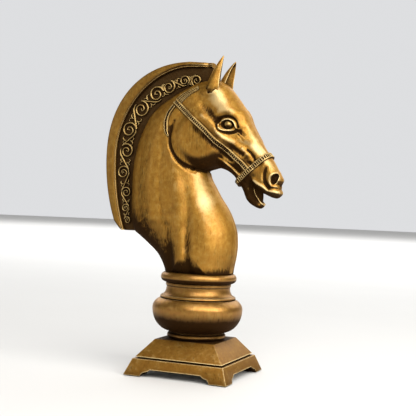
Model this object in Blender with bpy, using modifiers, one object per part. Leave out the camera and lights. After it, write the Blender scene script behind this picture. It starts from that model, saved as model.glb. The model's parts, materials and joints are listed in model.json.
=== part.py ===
"""A giant lawn-chess knight, cast hollow in aluminium and clamped together by one tie rod.

Everything is modelled about the stem's vertical axis, with the horse facing +X and its right side
towards -Y, and then hung on one empty that puts the origin under the middle of the whole piece.
Design numbers are in millimetres, and the scene is in metres.
"""

import math

import bmesh
import bpy
import numpy as np
from mathutils import Matrix, Vector
from mathutils.bvhtree import BVHTree

MM = 0.001
GAP = 0.3  # between pieces that touch
STEM_AXIS_X = 28  # from the middle of the whole piece to the stem's axis

# Square plinth: half sides and heights.
PAD_TOP, PAD_RADIUS = 2, 12
SKIRT_BOTTOM, SKIRT_TOP, SKIRT_HEIGHT = 122, 107.7, 37.4
CAP_BOTTOM, CAP_TOP = 103.3, 71.3
CAP_FOOT_Z, CAP_TOP_Z = 41, 79.8
CAST_WALL = 8
FOOT_BLOCK, FOOT_BLOCK_TOP = 40, 26
APRON_Z = 17
PLATE_Z, PLATE_THICK, PLATE_HALF = 20, 3, 103
SCREW_CIRCLE = 90
LUG_INNER, LUG_HALF_WIDTH = 82, 8
BEYOND = 10  # how far a cutter runs past what it cuts
ANCHOR_HALF, ANCHOR_THICK = 45, 5
WASHER_RADIUS, WASHER_THICK = 30, 4
NUT_APOTHEM, NUT_HEIGHT = 8.5, 8

# Filler plug, in the middle of the closing plate.
PLUG_RADIUS, PLUG_HOLE = 16.8, 17.2
PLUG_FLANGE = 22

# Turned stem: heights where one ring meets the next.
STEM_BOTTOM_Z = CAP_TOP_Z + GAP
BULB_Z, COVE_Z, NECK_RING_Z, HORSE_Z = 97.3, 171.3, 207.5, 230.8
FLOOR_Z = 243  # top of the horse's cast floor, which the clamp washer bears on
STEM_BORE = 40
ROD_RADIUS = 5
ROD_BOTTOM_Z, ROD_TOP_Z = 50, 272

# Crest: centre and half axes of the ellipses that its rim follows.
CREST_X, CREST_Z, CREST_FOOT_Z, CREST_FRONT_X = -40, 495, 319, 16
RIM_HALF, PANEL_HALF = 12, 6
SCROLL_HALF, SCROLL_SWING, SCROLL_THICK = 3, 2.5, 2.4
SCROLL_LINE = [
    (-180, 334), (-195, 385), (-199, 440), (-194, 497), (-180, 545),
    (-153, 595), (-113, 638), (-66, 666), (-18, 680),
]

# Pins across the seam, and rivets that hold the crest, as (x, z).
PIN_PLACES = [(-55, 237), (55, 237), (160, 455), (30, 655)]
PIN_RADIUS = 2
RIVET_PLACES = [(-163, 400), (-153, 510), (-93, 615)]
RIVET_RADIUS = 2.5

# Sections of the horse: an upper or rear point, a lower or front point, and the half width.
NECK = [
    ((-78, HORSE_Z), (78, HORSE_Z), 78),
    ((-88, 258), (84, 260), 76),
    ((-130, 292), (86, 302), 70),
    ((-164, 322), (82, 335), 65),
    ((-174, 375), (64, 375), 59),
    ((-176, 430), (36, 425), 54),
    ((-172, 490), (20, 470), 50),
    ((-158, 545), (20, 505), 47),
    ((-125, 600), (20, 545), 44),
    ((-80, 636), (25, 590), 41),
    ((-38, 656), (40, 622), 37),
    ((2, 668), (58, 642), 30),
]
HEAD = [
    ((12, 664), (-52, 596), 33),
    ((45, 660), (-62, 548), 46),
    ((78, 632), (-52, 505), 51),
    ((103, 600), (-12, 474), 50),
    ((118, 570), (38, 468), 43),
    ((136, 540), (62, 456), 35),
    ((154, 510), (82, 441), 31),
    ((170, 486), (108, 436), 28),
    ((184, 464), (137, 424), 26),
    ((192, 446), (158, 411), 23),
    ((189, 427), (175, 409), 14),
]
JAW = [
    ((118, 468), (72, 452), 25),
    ((116, 448), (85, 438), 23),
    ((122, 428), (97, 422), 20),
    ((128, 410), (104, 404), 19),
    ((140, 399), (118, 390), 17),
    ((150, 393), (138, 384), 10),
]
EAR_BASE, EAR_TIP = (30, 28, 646), (53, 40, 721)
EAR_LONG, EAR_WIDE = 17, 13
EYE = (71, 566)
EYE_RADIUS, EYE_SUNK = 11, 5
HORSE_WALL = 7

# Bridle: routes of (x, z), with each strap's width and thickness.
CHEEK_STRAP = ([(-60, 619), (-10, 577), (50, 525), (108, 475)], 13, 3.2)
HEADPIECE = ([(-47, 626), (-30, 637), (-11, 645)], 12, 2.6)
THROATLATCH = ([(-64, 604), (-76, 578), (-77, 556), (-72, 540)], 10, 2.6)
STRAP_FOOT = 4  # how far a strap starts below the skin, before it is cut to it
NOSEBAND = [((169, 509), (80, 437), 37), ((173, 501), (86, 429), 36)]

GOLD = (0.42, 0.27, 0.09)
DARK_GOLD = (0.16, 0.10, 0.04)
PALE_GOLD = (0.60, 0.42, 0.18)
STEEL = (0.45, 0.45, 0.46)
BLACK = (0.02, 0.02, 0.02)


# ---------------------------------------------------------------- scene, materials, helpers


def clear_scene():
    for obj in list(bpy.data.objects):
        bpy.data.objects.remove(obj)


def new_collection(name):
    collection = bpy.data.collections.new(name)
    bpy.context.scene.collection.children.link(collection)
    return collection


def finish(name, colour, roughness=0.35, metallic=1.0):
    material = bpy.data.materials.new(name)
    material.use_nodes = True
    shader = material.node_tree.nodes["Principled BSDF"]
    shader.inputs["Base Color"].default_value = (*colour, 1)
    shader.inputs["Roughness"].default_value = roughness
    shader.inputs["Metallic"].default_value = metallic
    return material


def object_from(name, bm):
    """An object in the cutters' collection, until keep() makes it a part."""
    bmesh.ops.recalc_face_normals(bm, faces=bm.faces)
    mesh = bpy.data.meshes.new(name)
    bm.to_mesh(mesh)
    bm.free()
    obj = bpy.data.objects.new(name, mesh)
    CUTTERS.objects.link(obj)
    obj.parent = STEM_AXIS
    obj.hide_render = True
    obj.display_type = "WIRE"
    return obj


def keep(obj, material, smooth_degrees=40):
    CUTTERS.objects.unlink(obj)
    PARTS.objects.link(obj)
    obj.hide_render = False
    obj.display_type = "TEXTURED"
    obj.data.materials.clear()
    obj.data.materials.append(material)
    obj.data.shade_smooth()
    obj.data.set_sharp_from_angle(angle=math.radians(smooth_degrees))
    return obj


def settled(obj):
    """The object with its modifiers made part of its mesh."""
    bpy.context.view_layer.update()
    graph = bpy.context.evaluated_depsgraph_get()
    mesh = bpy.data.meshes.new_from_object(obj.evaluated_get(graph))
    obj.modifiers.clear()
    obj.data = mesh
    return obj


def boolean(obj, others, operation="DIFFERENCE"):
    for other in others:
        modifier = obj.modifiers.new(operation.title(), "BOOLEAN")
        modifier.operation = operation
        modifier.object = other
    settled(obj)
    for other in others:
        bpy.data.objects.remove(other)
    return obj


def block(name, low, high):
    bm = bmesh.new()
    bmesh.ops.create_cube(bm, size=1)
    low, high = Vector(low) * MM, Vector(high) * MM
    size, middle = high - low, (high + low) / 2
    for vert in bm.verts:
        vert.co = Vector(a * b for a, b in zip(vert.co, size)) + middle
    return object_from(name, bm)


def prism(name, sides, apothems, heights):
    """An upright prism or frustum with flat sides facing the axes."""
    bm = bmesh.new()
    out = MM / math.cos(math.pi / sides)
    low, high = heights
    bmesh.ops.create_cone(
        bm, segments=sides, cap_ends=True, depth=(high - low) * MM,
        radius1=apothems[0] * out, radius2=apothems[1] * out,
    )
    turn = Matrix.Rotation(math.pi / sides, 4, "Z")
    rise = Matrix.Translation((0, 0, (high + low) / 2 * MM))
    bmesh.ops.transform(bm, matrix=rise @ turn, verts=bm.verts)
    return object_from(name, bm)


def rod(name, centre, radius, length, axis="Z", sides=20):
    bm = bmesh.new()
    bmesh.ops.create_cone(
        bm, segments=sides, cap_ends=True, depth=length * MM,
        radius1=radius * MM, radius2=radius * MM,
    )
    lay = {"X": Matrix.Rotation(math.pi / 2, 4, "Y"), "Y": Matrix.Rotation(math.pi / 2, 4, "X")}
    place = Matrix.Translation(Vector(centre) * MM) @ lay.get(axis, Matrix.Identity(4))
    bmesh.ops.transform(bm, matrix=place, verts=bm.verts)
    return object_from(name, bm)


def turned(name, profile, steps=36):
    """A ring turned from a closed profile of (radius, z): down its outer side, then up the bore."""
    mesh = bpy.data.meshes.new(name)
    points = [(r * MM, 0, z * MM) for r, z in profile]
    edges = [(i, (i + 1) % len(points)) for i in range(len(points))]
    mesh.from_pydata(points, edges, [])
    obj = bpy.data.objects.new(name, mesh)
    CUTTERS.objects.link(obj)
    obj.parent = STEM_AXIS
    obj.hide_render = True
    screw = obj.modifiers.new("Turn", "SCREW")
    screw.steps = screw.render_steps = steps
    screw.use_merge_vertices = True
    screw.merge_threshold = 0.00001
    return settled(obj)


def arc(centre, radii, start, end, points):
    """(radius, z) points on an ellipse, with angles in degrees from straight out."""
    angles = [math.radians(start + (end - start) * i / (points - 1)) for i in range(points)]
    return [(centre[0] + radii[0] * math.cos(a), centre[1] + radii[1] * math.sin(a)) for a in angles]


def sheet(name, outline, half, y=0):
    """A plate cut from a side-view outline of (x, z), half its thickness either way of y."""
    bm = bmesh.new()
    near = [bm.verts.new((x * MM, (y - half) * MM, z * MM)) for x, z in outline]
    face = bm.faces.new(near)
    made = bmesh.ops.extrude_face_region(bm, geom=[face])["geom"]
    far = [item for item in made if isinstance(item, bmesh.types.BMVert)]
    bmesh.ops.translate(bm, verts=far, vec=(0, 2 * half * MM, 0))
    return object_from(name, bm)


def smooth_rows(rows, per_span):
    """Rows of numbers joined by a Catmull-Rom curve, with per_span steps between two rows."""
    rows = np.array(rows, float)
    padded = np.vstack([2 * rows[0] - rows[1], rows, 2 * rows[-1] - rows[-2]])
    result = []
    for i in range(1, len(padded) - 2):
        a, b, c, d = padded[i - 1 : i + 3]
        for t in np.arange(per_span) / per_span:
            result.append(
                b + t * (c - a) / 2 + t**2 * (a - 2.5 * b + 2 * c - d / 2)
                + t**3 * (1.5 * (b - c) + (d - a) / 2)
            )
    result.append(rows[-1])
    return result


def loft(name, sections, grow=0.0, per_span=2, sides=20):
    """A closed skin over oval sections, each side grown outwards by grow."""
    bm = bmesh.new()
    rings = []
    for ax, az, bx, bz, half_width in smooth_rows([(*a, *b, w) for a, b, w in sections], per_span):
        top, bottom = Vector((ax, az)), Vector((bx, bz))
        reach = (top - bottom) / 2
        reach *= 1 + grow / reach.length
        middle = (top + bottom) / 2
        ring = []
        for i in range(sides):
            turn = 2 * math.pi * i / sides
            place = middle + reach * math.cos(turn)
            across = (half_width + grow) * math.sin(turn)
            ring.append(bm.verts.new((place.x * MM, across * MM, place.y * MM)))
        rings.append(ring)
    for one, other in zip(rings, rings[1:]):
        for i in range(sides):
            j = (i + 1) % sides
            bm.faces.new((one[i], one[j], other[j], other[i]))
    bm.faces.new(rings[0])
    bm.faces.new(rings[-1])
    return object_from(name, bm)


# ---------------------------------------------------------------- plinth


def plinth_skirt(material):
    """A hollow frustum with four solid feet, and a lug on each side for the closing plate's screws."""
    skirt = prism("plinth_skirt", 4, (SKIRT_BOTTOM, SKIRT_TOP), (PAD_TOP, SKIRT_HEIGHT))
    slope = (SKIRT_BOTTOM - SKIRT_TOP) / (SKIRT_HEIGHT - PAD_TOP)
    inside = SKIRT_BOTTOM - CAST_WALL
    hollow_top = SKIRT_HEIGHT - 5
    cavity = prism(
        "skirt_cavity", 4, (inside + slope, inside - slope * (hollow_top - PAD_TOP)),
        (PAD_TOP - 1, hollow_top),
    )
    solid = []
    for x, y in corners():
        x_span = foot_span(x, 0, BEYOND)
        y_span = foot_span(y, 0, BEYOND)
        low, high = (x_span[0], y_span[0], -5), (x_span[1], y_span[1], FOOT_BLOCK_TOP)
        solid.append(block("foot_block", low, high))
    lug_z = PLATE_Z + PLATE_THICK + GAP
    for x, y in compass(1):
        low, high = lug_end(x, y, -1), lug_end(x, y, 1)
        solid.append(block("lug", (*low, lug_z), (*high, SKIRT_HEIGHT)))
    boolean(cavity, solid)
    mouth = prism("skirt_mouth", 4, (80, 80), (hollow_top - 2, SKIRT_HEIGHT + 1))
    aprons = [apron_cutter(axis) for axis in "XY"]
    holes = [rod("lug_hole", (x, y, 24), 2.1, 16, sides=12) for x, y in compass(SCREW_CIRCLE)]
    recess = PAD_RADIUS + GAP
    holes += [rod("pad_recess", (x, y, PAD_TOP), recess, 2, sides=16) for x, y in corners()]
    return keep(boolean(skirt, [cavity, mouth] + aprons + holes), material, 20)


def foot_span(way, clearance, past):
    """From a foot's inner face to past the skirt's outside, on the side of the axis that way is on."""
    inner, outer = SKIRT_BOTTOM - FOOT_BLOCK - clearance, SKIRT_BOTTOM + past
    return sorted((math.copysign(inner, way), math.copysign(outer, way)))


def lug_end(x, y, side):
    """The lower or upper corner of the lug that faces the way (x, y)."""
    ends = []
    for way in (x, y):
        along = sorted((way * LUG_INNER, way * (SKIRT_BOTTOM + BEYOND)))
        across = (-LUG_HALF_WIDTH, LUG_HALF_WIDTH)
        span = along if way else across
        ends.append(span[side > 0])
    return tuple(ends)


def apron_cutter(axis):
    """The bracket-shaped opening of two opposite sides, cut right through the skirt."""
    shoulder = [(60, 0), (64, 3.5), (70, 5.5), (76, 7), (80, 11), (82, APRON_Z)]
    half = [(x, APRON_Z - drop) for x, drop in shoulder]
    outline = half + [(82, -2), (-82, -2)] + [(-x, z) for x, z in reversed(half)]
    cutter = sheet("apron", outline, SKIRT_BOTTOM + 4)
    if axis == "X":
        for vertex in cutter.data.vertices:
            x, y, z = vertex.co
            vertex.co = (-y, x, z)
    return cutter


def compass(distance):
    return [(distance, 0), (0, distance), (-distance, 0), (0, -distance)]


def corners():
    place = SKIRT_BOTTOM - FOOT_BLOCK / 2 - 1
    return [(sx * place, sy * place) for sx in (-1, 1) for sy in (-1, 1)]


def plinth_cap(material):
    cap = prism("plinth_cap", 4, (CAP_BOTTOM, CAP_TOP), (CAP_FOOT_Z, CAP_TOP_Z))
    lip = prism("cap_lip", 4, (99, 99), (SKIRT_HEIGHT + GAP, CAP_FOOT_Z + 1))
    boolean(cap, [lip], "UNION")
    roof = CAP_TOP_Z - 9
    cavity = prism("cap_cavity", 4, (92, 63), (SKIRT_HEIGHT - 1, roof))
    hole = rod("cap_hole", (0, 0, CAP_TOP_Z), ROD_RADIUS + 0.6, 40)
    return keep(boolean(cap, [cavity, hole]), material, 20)


def closing_plate(material):
    plate = prism("closing_plate", 4, (PLATE_HALF,) * 2, (PLATE_Z, PLATE_Z + PLATE_THICK))
    for x, y in corners():
        x_span = foot_span(x, 2 * GAP, 0)
        y_span = foot_span(y, 2 * GAP, 0)
        low = (x_span[0], y_span[0], PLATE_Z - BEYOND)
        high = (x_span[1], y_span[1], PLATE_Z + 2 * BEYOND)
        boolean(plate, [block("notch", low, high)])
    holes = [rod("hole", (x, y, PLATE_Z), 2.4, 20, sides=12) for x, y in compass(SCREW_CIRCLE)]
    holes.append(rod("plug_hole", (0, 0, PLATE_Z), PLUG_HOLE, 20))
    keep(boolean(plate, holes), material)
    for number, (x, y) in enumerate(compass(SCREW_CIRCLE), 1):
        name = f"closing_plate_screw_{number}"
        head_top = PLATE_Z - GAP
        screw = rod(name, (x, y, head_top - 1.3), 4.5, 2.6)
        shank = rod("shank", (x, y, head_top + 4.8), 1.8, 10, sides=12)
        boolean(screw, [shank], "UNION")
        slot = block("slot", (x - 6, y - 0.6, head_top - 4), (x + 6, y + 0.6, head_top - 1.7))
        keep(boolean(screw, [slot]), STEEL_FINISH)


def filler(material):
    collar_z = PLATE_Z + PLATE_THICK + GAP
    collar = [(24, collar_z + 10), (24, collar_z), (PLUG_HOLE, collar_z), (PLUG_HOLE, collar_z + 10)]
    keep(turned("filler_collar", collar, 24), STEEL_FINISH)
    seal_top = PLATE_Z - GAP
    seal = [(21, seal_top), (21.5, seal_top - 0.7), (21, seal_top - 1.4), (PLUG_HOLE, seal_top - 1.4)]
    rubber = finish("seal_rubber", BLACK, 0.8, 0)
    keep(turned("filler_seal", seal + [(PLUG_HOLE, seal_top)], 24), rubber)
    flange_top = seal_top - 1.4 - GAP
    plug = rod("filler_plug", (0, 0, flange_top - 1.6), PLUG_FLANGE, 3.2)
    thread = rod("thread", (0, 0, flange_top + 6), PLUG_RADIUS, 14)
    boolean(plug, [thread], "UNION")
    slot = block("plug_slot", (-14, -2.2, flange_top - 5), (14, 2.2, flange_top - 1.6))
    keep(boolean(plug, [slot]), material)


def foot_pads():
    rubber = finish("pad_rubber", BLACK, 0.9, 0)
    for number, (x, y) in enumerate(corners(), 1):
        top = PAD_TOP + 1 - GAP
        keep(rod(f"foot_pad_{number}", (x, y, top / 2), PAD_RADIUS - 0.1, top, sides=16), rubber)


# ---------------------------------------------------------------- turned stem


def stem(material):
    foot = [(62, BULB_Z - GAP), (62.2, 94.5)]
    foot += arc((61.3, 87.3), (6, 6.6), 60, -60, 5) + [(62, STEM_BOTTOM_Z)]
    foot += [(STEM_BORE, STEM_BOTTOM_Z), (STEM_BORE, BULB_Z - GAP)]
    keep(turned("stem_foot_ring", foot), material)

    belly = 148.6
    bulb = arc((70, belly), (33.4, 26), 61, 0, 5) + arc((62.5, belly), (40.9, 51.3), -14, -88, 7)
    inner = [(STEM_BORE, BULB_Z), (56, 104), (84, 124), (96, 148), (80, 165)]
    top = COVE_Z - GAP
    keep(turned("bulb", [(86.2, top)] + bulb + inner + [(STEM_BORE, 165), (STEM_BORE, top)]), material)

    cove = [(74.5, NECK_RING_Z - GAP), (74.5, 199.5), (73, 198)]
    cove += arc((86, 197), (13, 19.5), 180, 262, 5) + arc((84.2, 174.4), (2.2, 3.1), 80, -80, 4)
    cove += [(STEM_BORE, COVE_Z), (STEM_BORE, NECK_RING_Z - GAP)]
    keep(turned("cove_collar", cove), material)

    middle = (NECK_RING_Z + HORSE_Z - GAP) / 2
    half = (HORSE_Z - GAP - NECK_RING_Z) / 2
    ring = arc((75.6, middle), (11.5, half), 90, -90, 8)
    ring += [(STEM_BORE, NECK_RING_Z), (STEM_BORE, HORSE_Z - GAP)]
    keep(turned("neck_ring", ring), material)


def tie_rod():
    length = ROD_TOP_Z - ROD_BOTTOM_Z
    keep(rod("tie_rod", (0, 0, (ROD_TOP_Z + ROD_BOTTOM_Z) / 2), ROD_RADIUS, length), STEEL_FINISH)
    roof = CAP_TOP_Z - 9 - GAP
    plate = prism("anchor_plate", 4, (ANCHOR_HALF, ANCHOR_HALF), (roof - ANCHOR_THICK, roof))
    hole = rod("hole", (0, 0, roof), ROD_RADIUS + 0.5, 30)
    keep(boolean(plate, [hole]), STEEL_FINISH)
    nut("tie_rod_nut_bottom", roof - ANCHOR_THICK - GAP - NUT_HEIGHT)
    low, high = FLOOR_Z + GAP, FLOOR_Z + GAP + WASHER_THICK
    bore = ROD_RADIUS + 0.5
    washer = [(WASHER_RADIUS, high), (WASHER_RADIUS, low), (bore, low), (bore, high)]
    keep(turned("clamp_washer", washer, 24), STEEL_FINISH)
    nut("tie_rod_nut_top", high + GAP)


def nut(name, low):
    body = prism(name, 6, (NUT_APOTHEM, NUT_APOTHEM), (low, low + NUT_HEIGHT))
    hole = rod("hole", (0, 0, low + NUT_HEIGHT / 2), ROD_RADIUS + GAP, 30)
    keep(boolean(body, [hole]), STEEL_FINISH)


# ---------------------------------------------------------------- horse

def horse_form(name, grow=0.0):
    """The outer form of neck, head and lower jaw as one solid, grown outwards by grow."""
    form = loft(name, NECK, grow, sides=24)
    return boolean(form, [loft("head", HEAD, grow), loft("jaw", JAW, grow, sides=14)], "UNION")


def crest_slot():
    return sheet("crest_slot", panel_outline(tongue=15), PANEL_HALF + GAP)


def horse_shells(material):
    """Two hollow halves that meet at a seam down the middle, each with a slot for the crest's panel."""
    form = horse_form("horse")
    neck_core = loft("neck_core", NECK[:-2], -HORSE_WALL - 4, sides=16, per_span=1)
    floor = block("floor", (-200, -100, 200), (200, 100, FLOOR_Z))
    boolean(neck_core, [floor])
    skull = loft("head_core", HEAD[1:7], -HORSE_WALL - 3, sides=16, per_span=1)
    spine_half = PANEL_HALF + 6
    spine = block("crest_wall", (-200, -spine_half, 300), (-120, spine_half, 700))
    boolean(neck_core, [skull], "UNION")
    boolean(neck_core, [spine])
    rod_hole = rod("rod_hole", (0, 0, HORSE_Z), ROD_RADIUS + 1, 60)
    pins = [rod("pin_hole", (x, 0, z), PIN_RADIUS + GAP, 17, "Y", 12) for x, z in PIN_PLACES]
    rivets = [rod("rivet_hole", (x, 0, z), RIVET_RADIUS + GAP, 25, "Y", 12) for x, z in RIVET_PLACES]
    boolean(form, [neck_core, crest_slot(), rod_hole] + pins + rivets)
    half_space = block("half_space", (-400, GAP / 2, 0), (400, 200, 900))
    boolean(form, [half_space], "INTERSECT")
    right = mirrored(form, "neck_shell_right")
    form.name = "neck_shell_left"
    keep(form, material, 60)
    keep(right, material, 60)


def mirrored(obj, name):
    """The other side's twin of an object, across the plane y = 0."""
    bm = bmesh.new()
    bm.from_mesh(obj.data)
    bmesh.ops.scale(bm, vec=(1, -1, 1), verts=bm.verts)
    bmesh.ops.reverse_faces(bm, faces=bm.faces)
    return object_from(name, bm)


def seam_pins():
    for number, (x, z) in enumerate(PIN_PLACES, 1):
        keep(rod(f"seam_pin_{number}", (x, 0, z), PIN_RADIUS, 16, "Y", 12), STEEL_FINISH)
    for number, (x, z) in enumerate(RIVET_PLACES, 1):
        keep(rod(f"crest_pin_{number}", (x, 0, z), RIVET_RADIUS, 24, "Y", 12), STEEL_FINISH)


def ears(material):
    """Leaf-shaped ears: oval sections that narrow from a broad root and run out to a point."""
    base, tip = Vector(EAR_BASE), Vector(EAR_TIP)
    for side, name in ((-1, "ear_right"), (1, "ear_left")):
        bm = bmesh.new()
        rings = []
        for t in np.linspace(0, 1, 9):
            swell = max(1.18 - 0.35 * t - 0.81 * t**2, 0.05)
            middle = base.lerp(tip, t) + Vector((-3 * math.sin(math.pi * t), 0, 0))
            ring = []
            for i in range(12):
                turn = 2 * math.pi * i / 12
                x = middle.x + EAR_LONG * swell * math.cos(turn)
                y = middle.y + EAR_WIDE * swell * math.sin(turn)
                ring.append(bm.verts.new((x * MM, side * y * MM, middle.z * MM)))
            rings.append(ring)
        for one, other in zip(rings, rings[1:]):
            for i in range(12):
                j = (i + 1) % 12
                bm.faces.new((one[i], one[j], other[j], other[i]))
        bm.faces.new(rings[0])
        bm.faces.new(rings[-1])
        ear = object_from(name, bm)
        keep(boolean(ear, [horse_form("skull", GAP)]), material)


def eyes(material):
    for side, name in ((-1, "eye_right"), (1, "eye_left")):
        place, normal = on_side(*EYE, side)
        bm = bmesh.new()
        bmesh.ops.create_uvsphere(bm, u_segments=16, v_segments=10, radius=EYE_RADIUS * MM)
        bmesh.ops.translate(bm, verts=bm.verts, vec=place - normal * EYE_SUNK * MM)
        keep(boolean(object_from(name, bm), [horse_form("socket", GAP)]), material)


# ---------------------------------------------------------------- bridle


def on_side(x, z, side):
    """The point of the horse's side at (x, z), and the surface normal there."""
    start = Vector((x * MM, side * 0.3, z * MM))
    point, normal, _, _ = SKIN.ray_cast(start, Vector((0, -side, 0)))
    return point, normal


def strap(name, route, side, width, thickness):
    """A flat bar laid on the horse's side along a route of (x, z), its foot below the skin."""
    points = [on_side(x, z, side) for x, z in smooth_rows(route, 3)]
    bm = bmesh.new()
    rings = []
    for i, (point, normal) in enumerate(points):
        ahead = points[min(i + 1, len(points) - 1)][0] - points[max(i - 1, 0)][0]
        across = ahead.normalized().cross(normal).normalized() * width / 2 * MM
        foot = point - normal * STRAP_FOOT * MM
        top = point + normal * thickness * MM
        ring = [foot - across, foot + across, top + across, top - across]
        rings.append([bm.verts.new(corner) for corner in ring])
    for one, other in zip(rings, rings[1:]):
        for i in range(4):
            j = (i + 1) % 4
            bm.faces.new((one[i], one[j], other[j], other[i]))
    bm.faces.new(rings[0])
    bm.faces.new(rings[-1])
    return object_from(name, bm)


def copied(obj):
    other = obj.copy()
    other.data = obj.data.copy()
    CUTTERS.objects.link(other)
    return other


def bridle(material):
    """A band round the muzzle and three straps a side; the cheek strap lies over the other two."""
    noseband = loft("noseband", NOSEBAND, per_span=1, sides=32)
    keep(boolean(noseband, [horse_form("muzzle", GAP)]), material)
    for side, word in ((-1, "right"), (1, "left")):
        cheek_route, cheek_width, cheek_thickness = CHEEK_STRAP
        room = strap("cheek_room", cheek_route, side, cheek_width + 2 * GAP, 12)
        cheek = strap(f"cheek_strap_{word}", cheek_route, side, cheek_width, cheek_thickness)
        keep(boolean(cheek, [horse_form("under", GAP)]), material)
        for kind, (route, width, thickness) in (("headpiece", HEADPIECE), ("throatlatch", THROATLATCH)):
            piece = strap(f"{kind}_{word}", route, side, width, thickness)
            keep(boolean(piece, [horse_form("under", GAP), copied(room)]), material)
        bpy.data.objects.remove(room)


# ---------------------------------------------------------------- crest


def crest_curve(half_x, rise, drop, upper_power, points):
    """From the crest's foot, round its back and over the top, to its front end."""
    curve = []
    low = math.asin((CREST_Z - CREST_FOOT_Z) / drop)
    for i in range(points // 2):
        turn = low * (1 - i / (points // 2))
        curve.append((CREST_X - half_x * math.cos(turn), CREST_Z - drop * math.sin(turn)))
    for i in range(points):
        turn = math.pi / 2 * i / (points - 1)
        x = half_x * math.cos(turn) ** (2 / upper_power)
        z = rise * math.sin(turn) ** (2 / upper_power)
        curve.append((CREST_X - x, CREST_Z + z))
    return curve


def rim_outer():
    curve = crest_curve(209, 220, 310, 2.2, 18)
    corner = [(curve[0][0] + 16, CREST_FOOT_Z), (curve[0][0] + 5, CREST_FOOT_Z + 5)]
    return corner + curve[1:] + [(CREST_FRONT_X, 711)]


def rim_inner(inset=0.0):
    curve = crest_curve(181, 206, 322, 1.9, 18) + [(CREST_FRONT_X, 700)]
    return [(x + inset, z - inset) for x, z in curve]


def panel_outline(tongue):
    """From the rim's inner edge to the neck, reaching tongue millimetres inside the neck's crest line."""
    crest_line = [row[0] for row in NECK[3:-1]] + [(0, 664)]
    inside = []
    for i, (x, z) in enumerate(crest_line):
        before, after = crest_line[max(i - 1, 0)], crest_line[min(i + 1, len(crest_line) - 1)]
        along = Vector((after[0] - before[0], after[1] - before[1])).normalized()
        inside.append((x + along.y * tongue, z - along.x * tongue))
    inside[0] = (inside[0][0], CREST_FOOT_Z)
    return rim_inner(GAP)[:-1] + [(CREST_FRONT_X, 700 - GAP), (CREST_FRONT_X, 672)] + list(reversed(inside))


def crest(material, dark, pale):
    """A heavy rim round a thin panel let into the neck, with a raised scroll on each face."""
    rim = sheet("crest_rim", rim_outer() + list(reversed(rim_inner())), RIM_HALF)
    keep(boolean(rim, [horse_form("neck_side", GAP)]), material, 30)
    panel = sheet("crest_panel", panel_outline(tongue=14.6), PANEL_HALF)
    rivets = [rod("hole", (x, 0, z), RIVET_RADIUS + GAP, 25, "Y", 12) for x, z in RIVET_PLACES]
    rim_room = sheet("rim_room", rim_outer() + list(reversed(rim_inner(GAP))), 30)
    keep(boolean(panel, rivets + [rim_room]), dark, 30)
    line = smooth_rows(SCROLL_LINE, 5)
    half = SCROLL_THICK / 2
    for side, name in ((-1, "scrollwork_right"), (1, "scrollwork_left")):
        y = side * (PANEL_HALF + GAP + half)
        scroll = sheet(name, ribbon(line, SCROLL_HALF, SCROLL_SWING), half, y)
        discs = []
        for i in range(2, len(line), 4):
            x, z = line[i]
            discs.append(rod("volute", (x, y + side * 0.7, z), 7 + 2.5 * i / len(line), 3.2, "Y", 10))
        boolean(scroll, discs, "UNION")
        panel_room = block(
            "panel_room", (-300, -PANEL_HALF - GAP, 200), (100, PANEL_HALF + GAP, 800),
        )
        keep(boolean(scroll, [horse_form("neck_room", GAP), panel_room]), pale, 30)


def ribbon(line, half, swing):
    """The outline of a narrow band that weaves either side of a centre line."""
    left, right = [], []
    for i, (x, z) in enumerate(line):
        before, after = line[max(i - 1, 0)], line[min(i + 1, len(line) - 1)]
        along = Vector((after[0] - before[0], after[1] - before[1])).normalized()
        across = Vector((-along.y, along.x))
        weave = swing * math.sin(math.pi * i / 4)
        left.append(Vector((x, z)) + across * (weave + half))
        right.append(Vector((x, z)) + across * (weave - half))
    return [tuple(point) for point in left + list(reversed(right))]


# ---------------------------------------------------------------- the piece

clear_scene()
PARTS = new_collection("giant_chess_knight")
CUTTERS = new_collection("cutters")
STEM_AXIS = bpy.data.objects.new("stem_axis", None)
PARTS.objects.link(STEM_AXIS)
STEEL_FINISH = finish("plated_steel", STEEL, 0.4)
cast_gold = finish("antique_gold", GOLD)
dark_gold = finish("dark_patina", DARK_GOLD, 0.5)
pale_gold = finish("worn_gold", PALE_GOLD, 0.3)

probe = horse_form("skin_probe")
graph = bpy.context.evaluated_depsgraph_get()
SKIN = BVHTree.FromObject(probe, graph)
bpy.data.objects.remove(probe)

plinth_skirt(cast_gold)
plinth_cap(cast_gold)
closing_plate(STEEL_FINISH)
filler(STEEL_FINISH)
foot_pads()
stem(cast_gold)
tie_rod()
horse_shells(cast_gold)
seam_pins()
ears(cast_gold)
eyes(pale_gold)
bridle(pale_gold)
crest(cast_gold, dark_gold, pale_gold)
STEM_AXIS.location.x = STEM_AXIS_X * MM
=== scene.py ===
"""The looks of the giant chess knight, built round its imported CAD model.

Shapes are worked out in millimetres about the stem's vertical axis, with the horse facing +X and its
right side towards -Y, and placed in the frame by put_in_frame(). The horse is sculpted as a distance
field on a grid and meshed with OpenVDB, the plinth is its CAD solids with eased edges, and the rest is
turned, swept or built ring by ring. The crest's ground and the fittings are the CAD solids themselves.
"""

import json
import math

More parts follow.
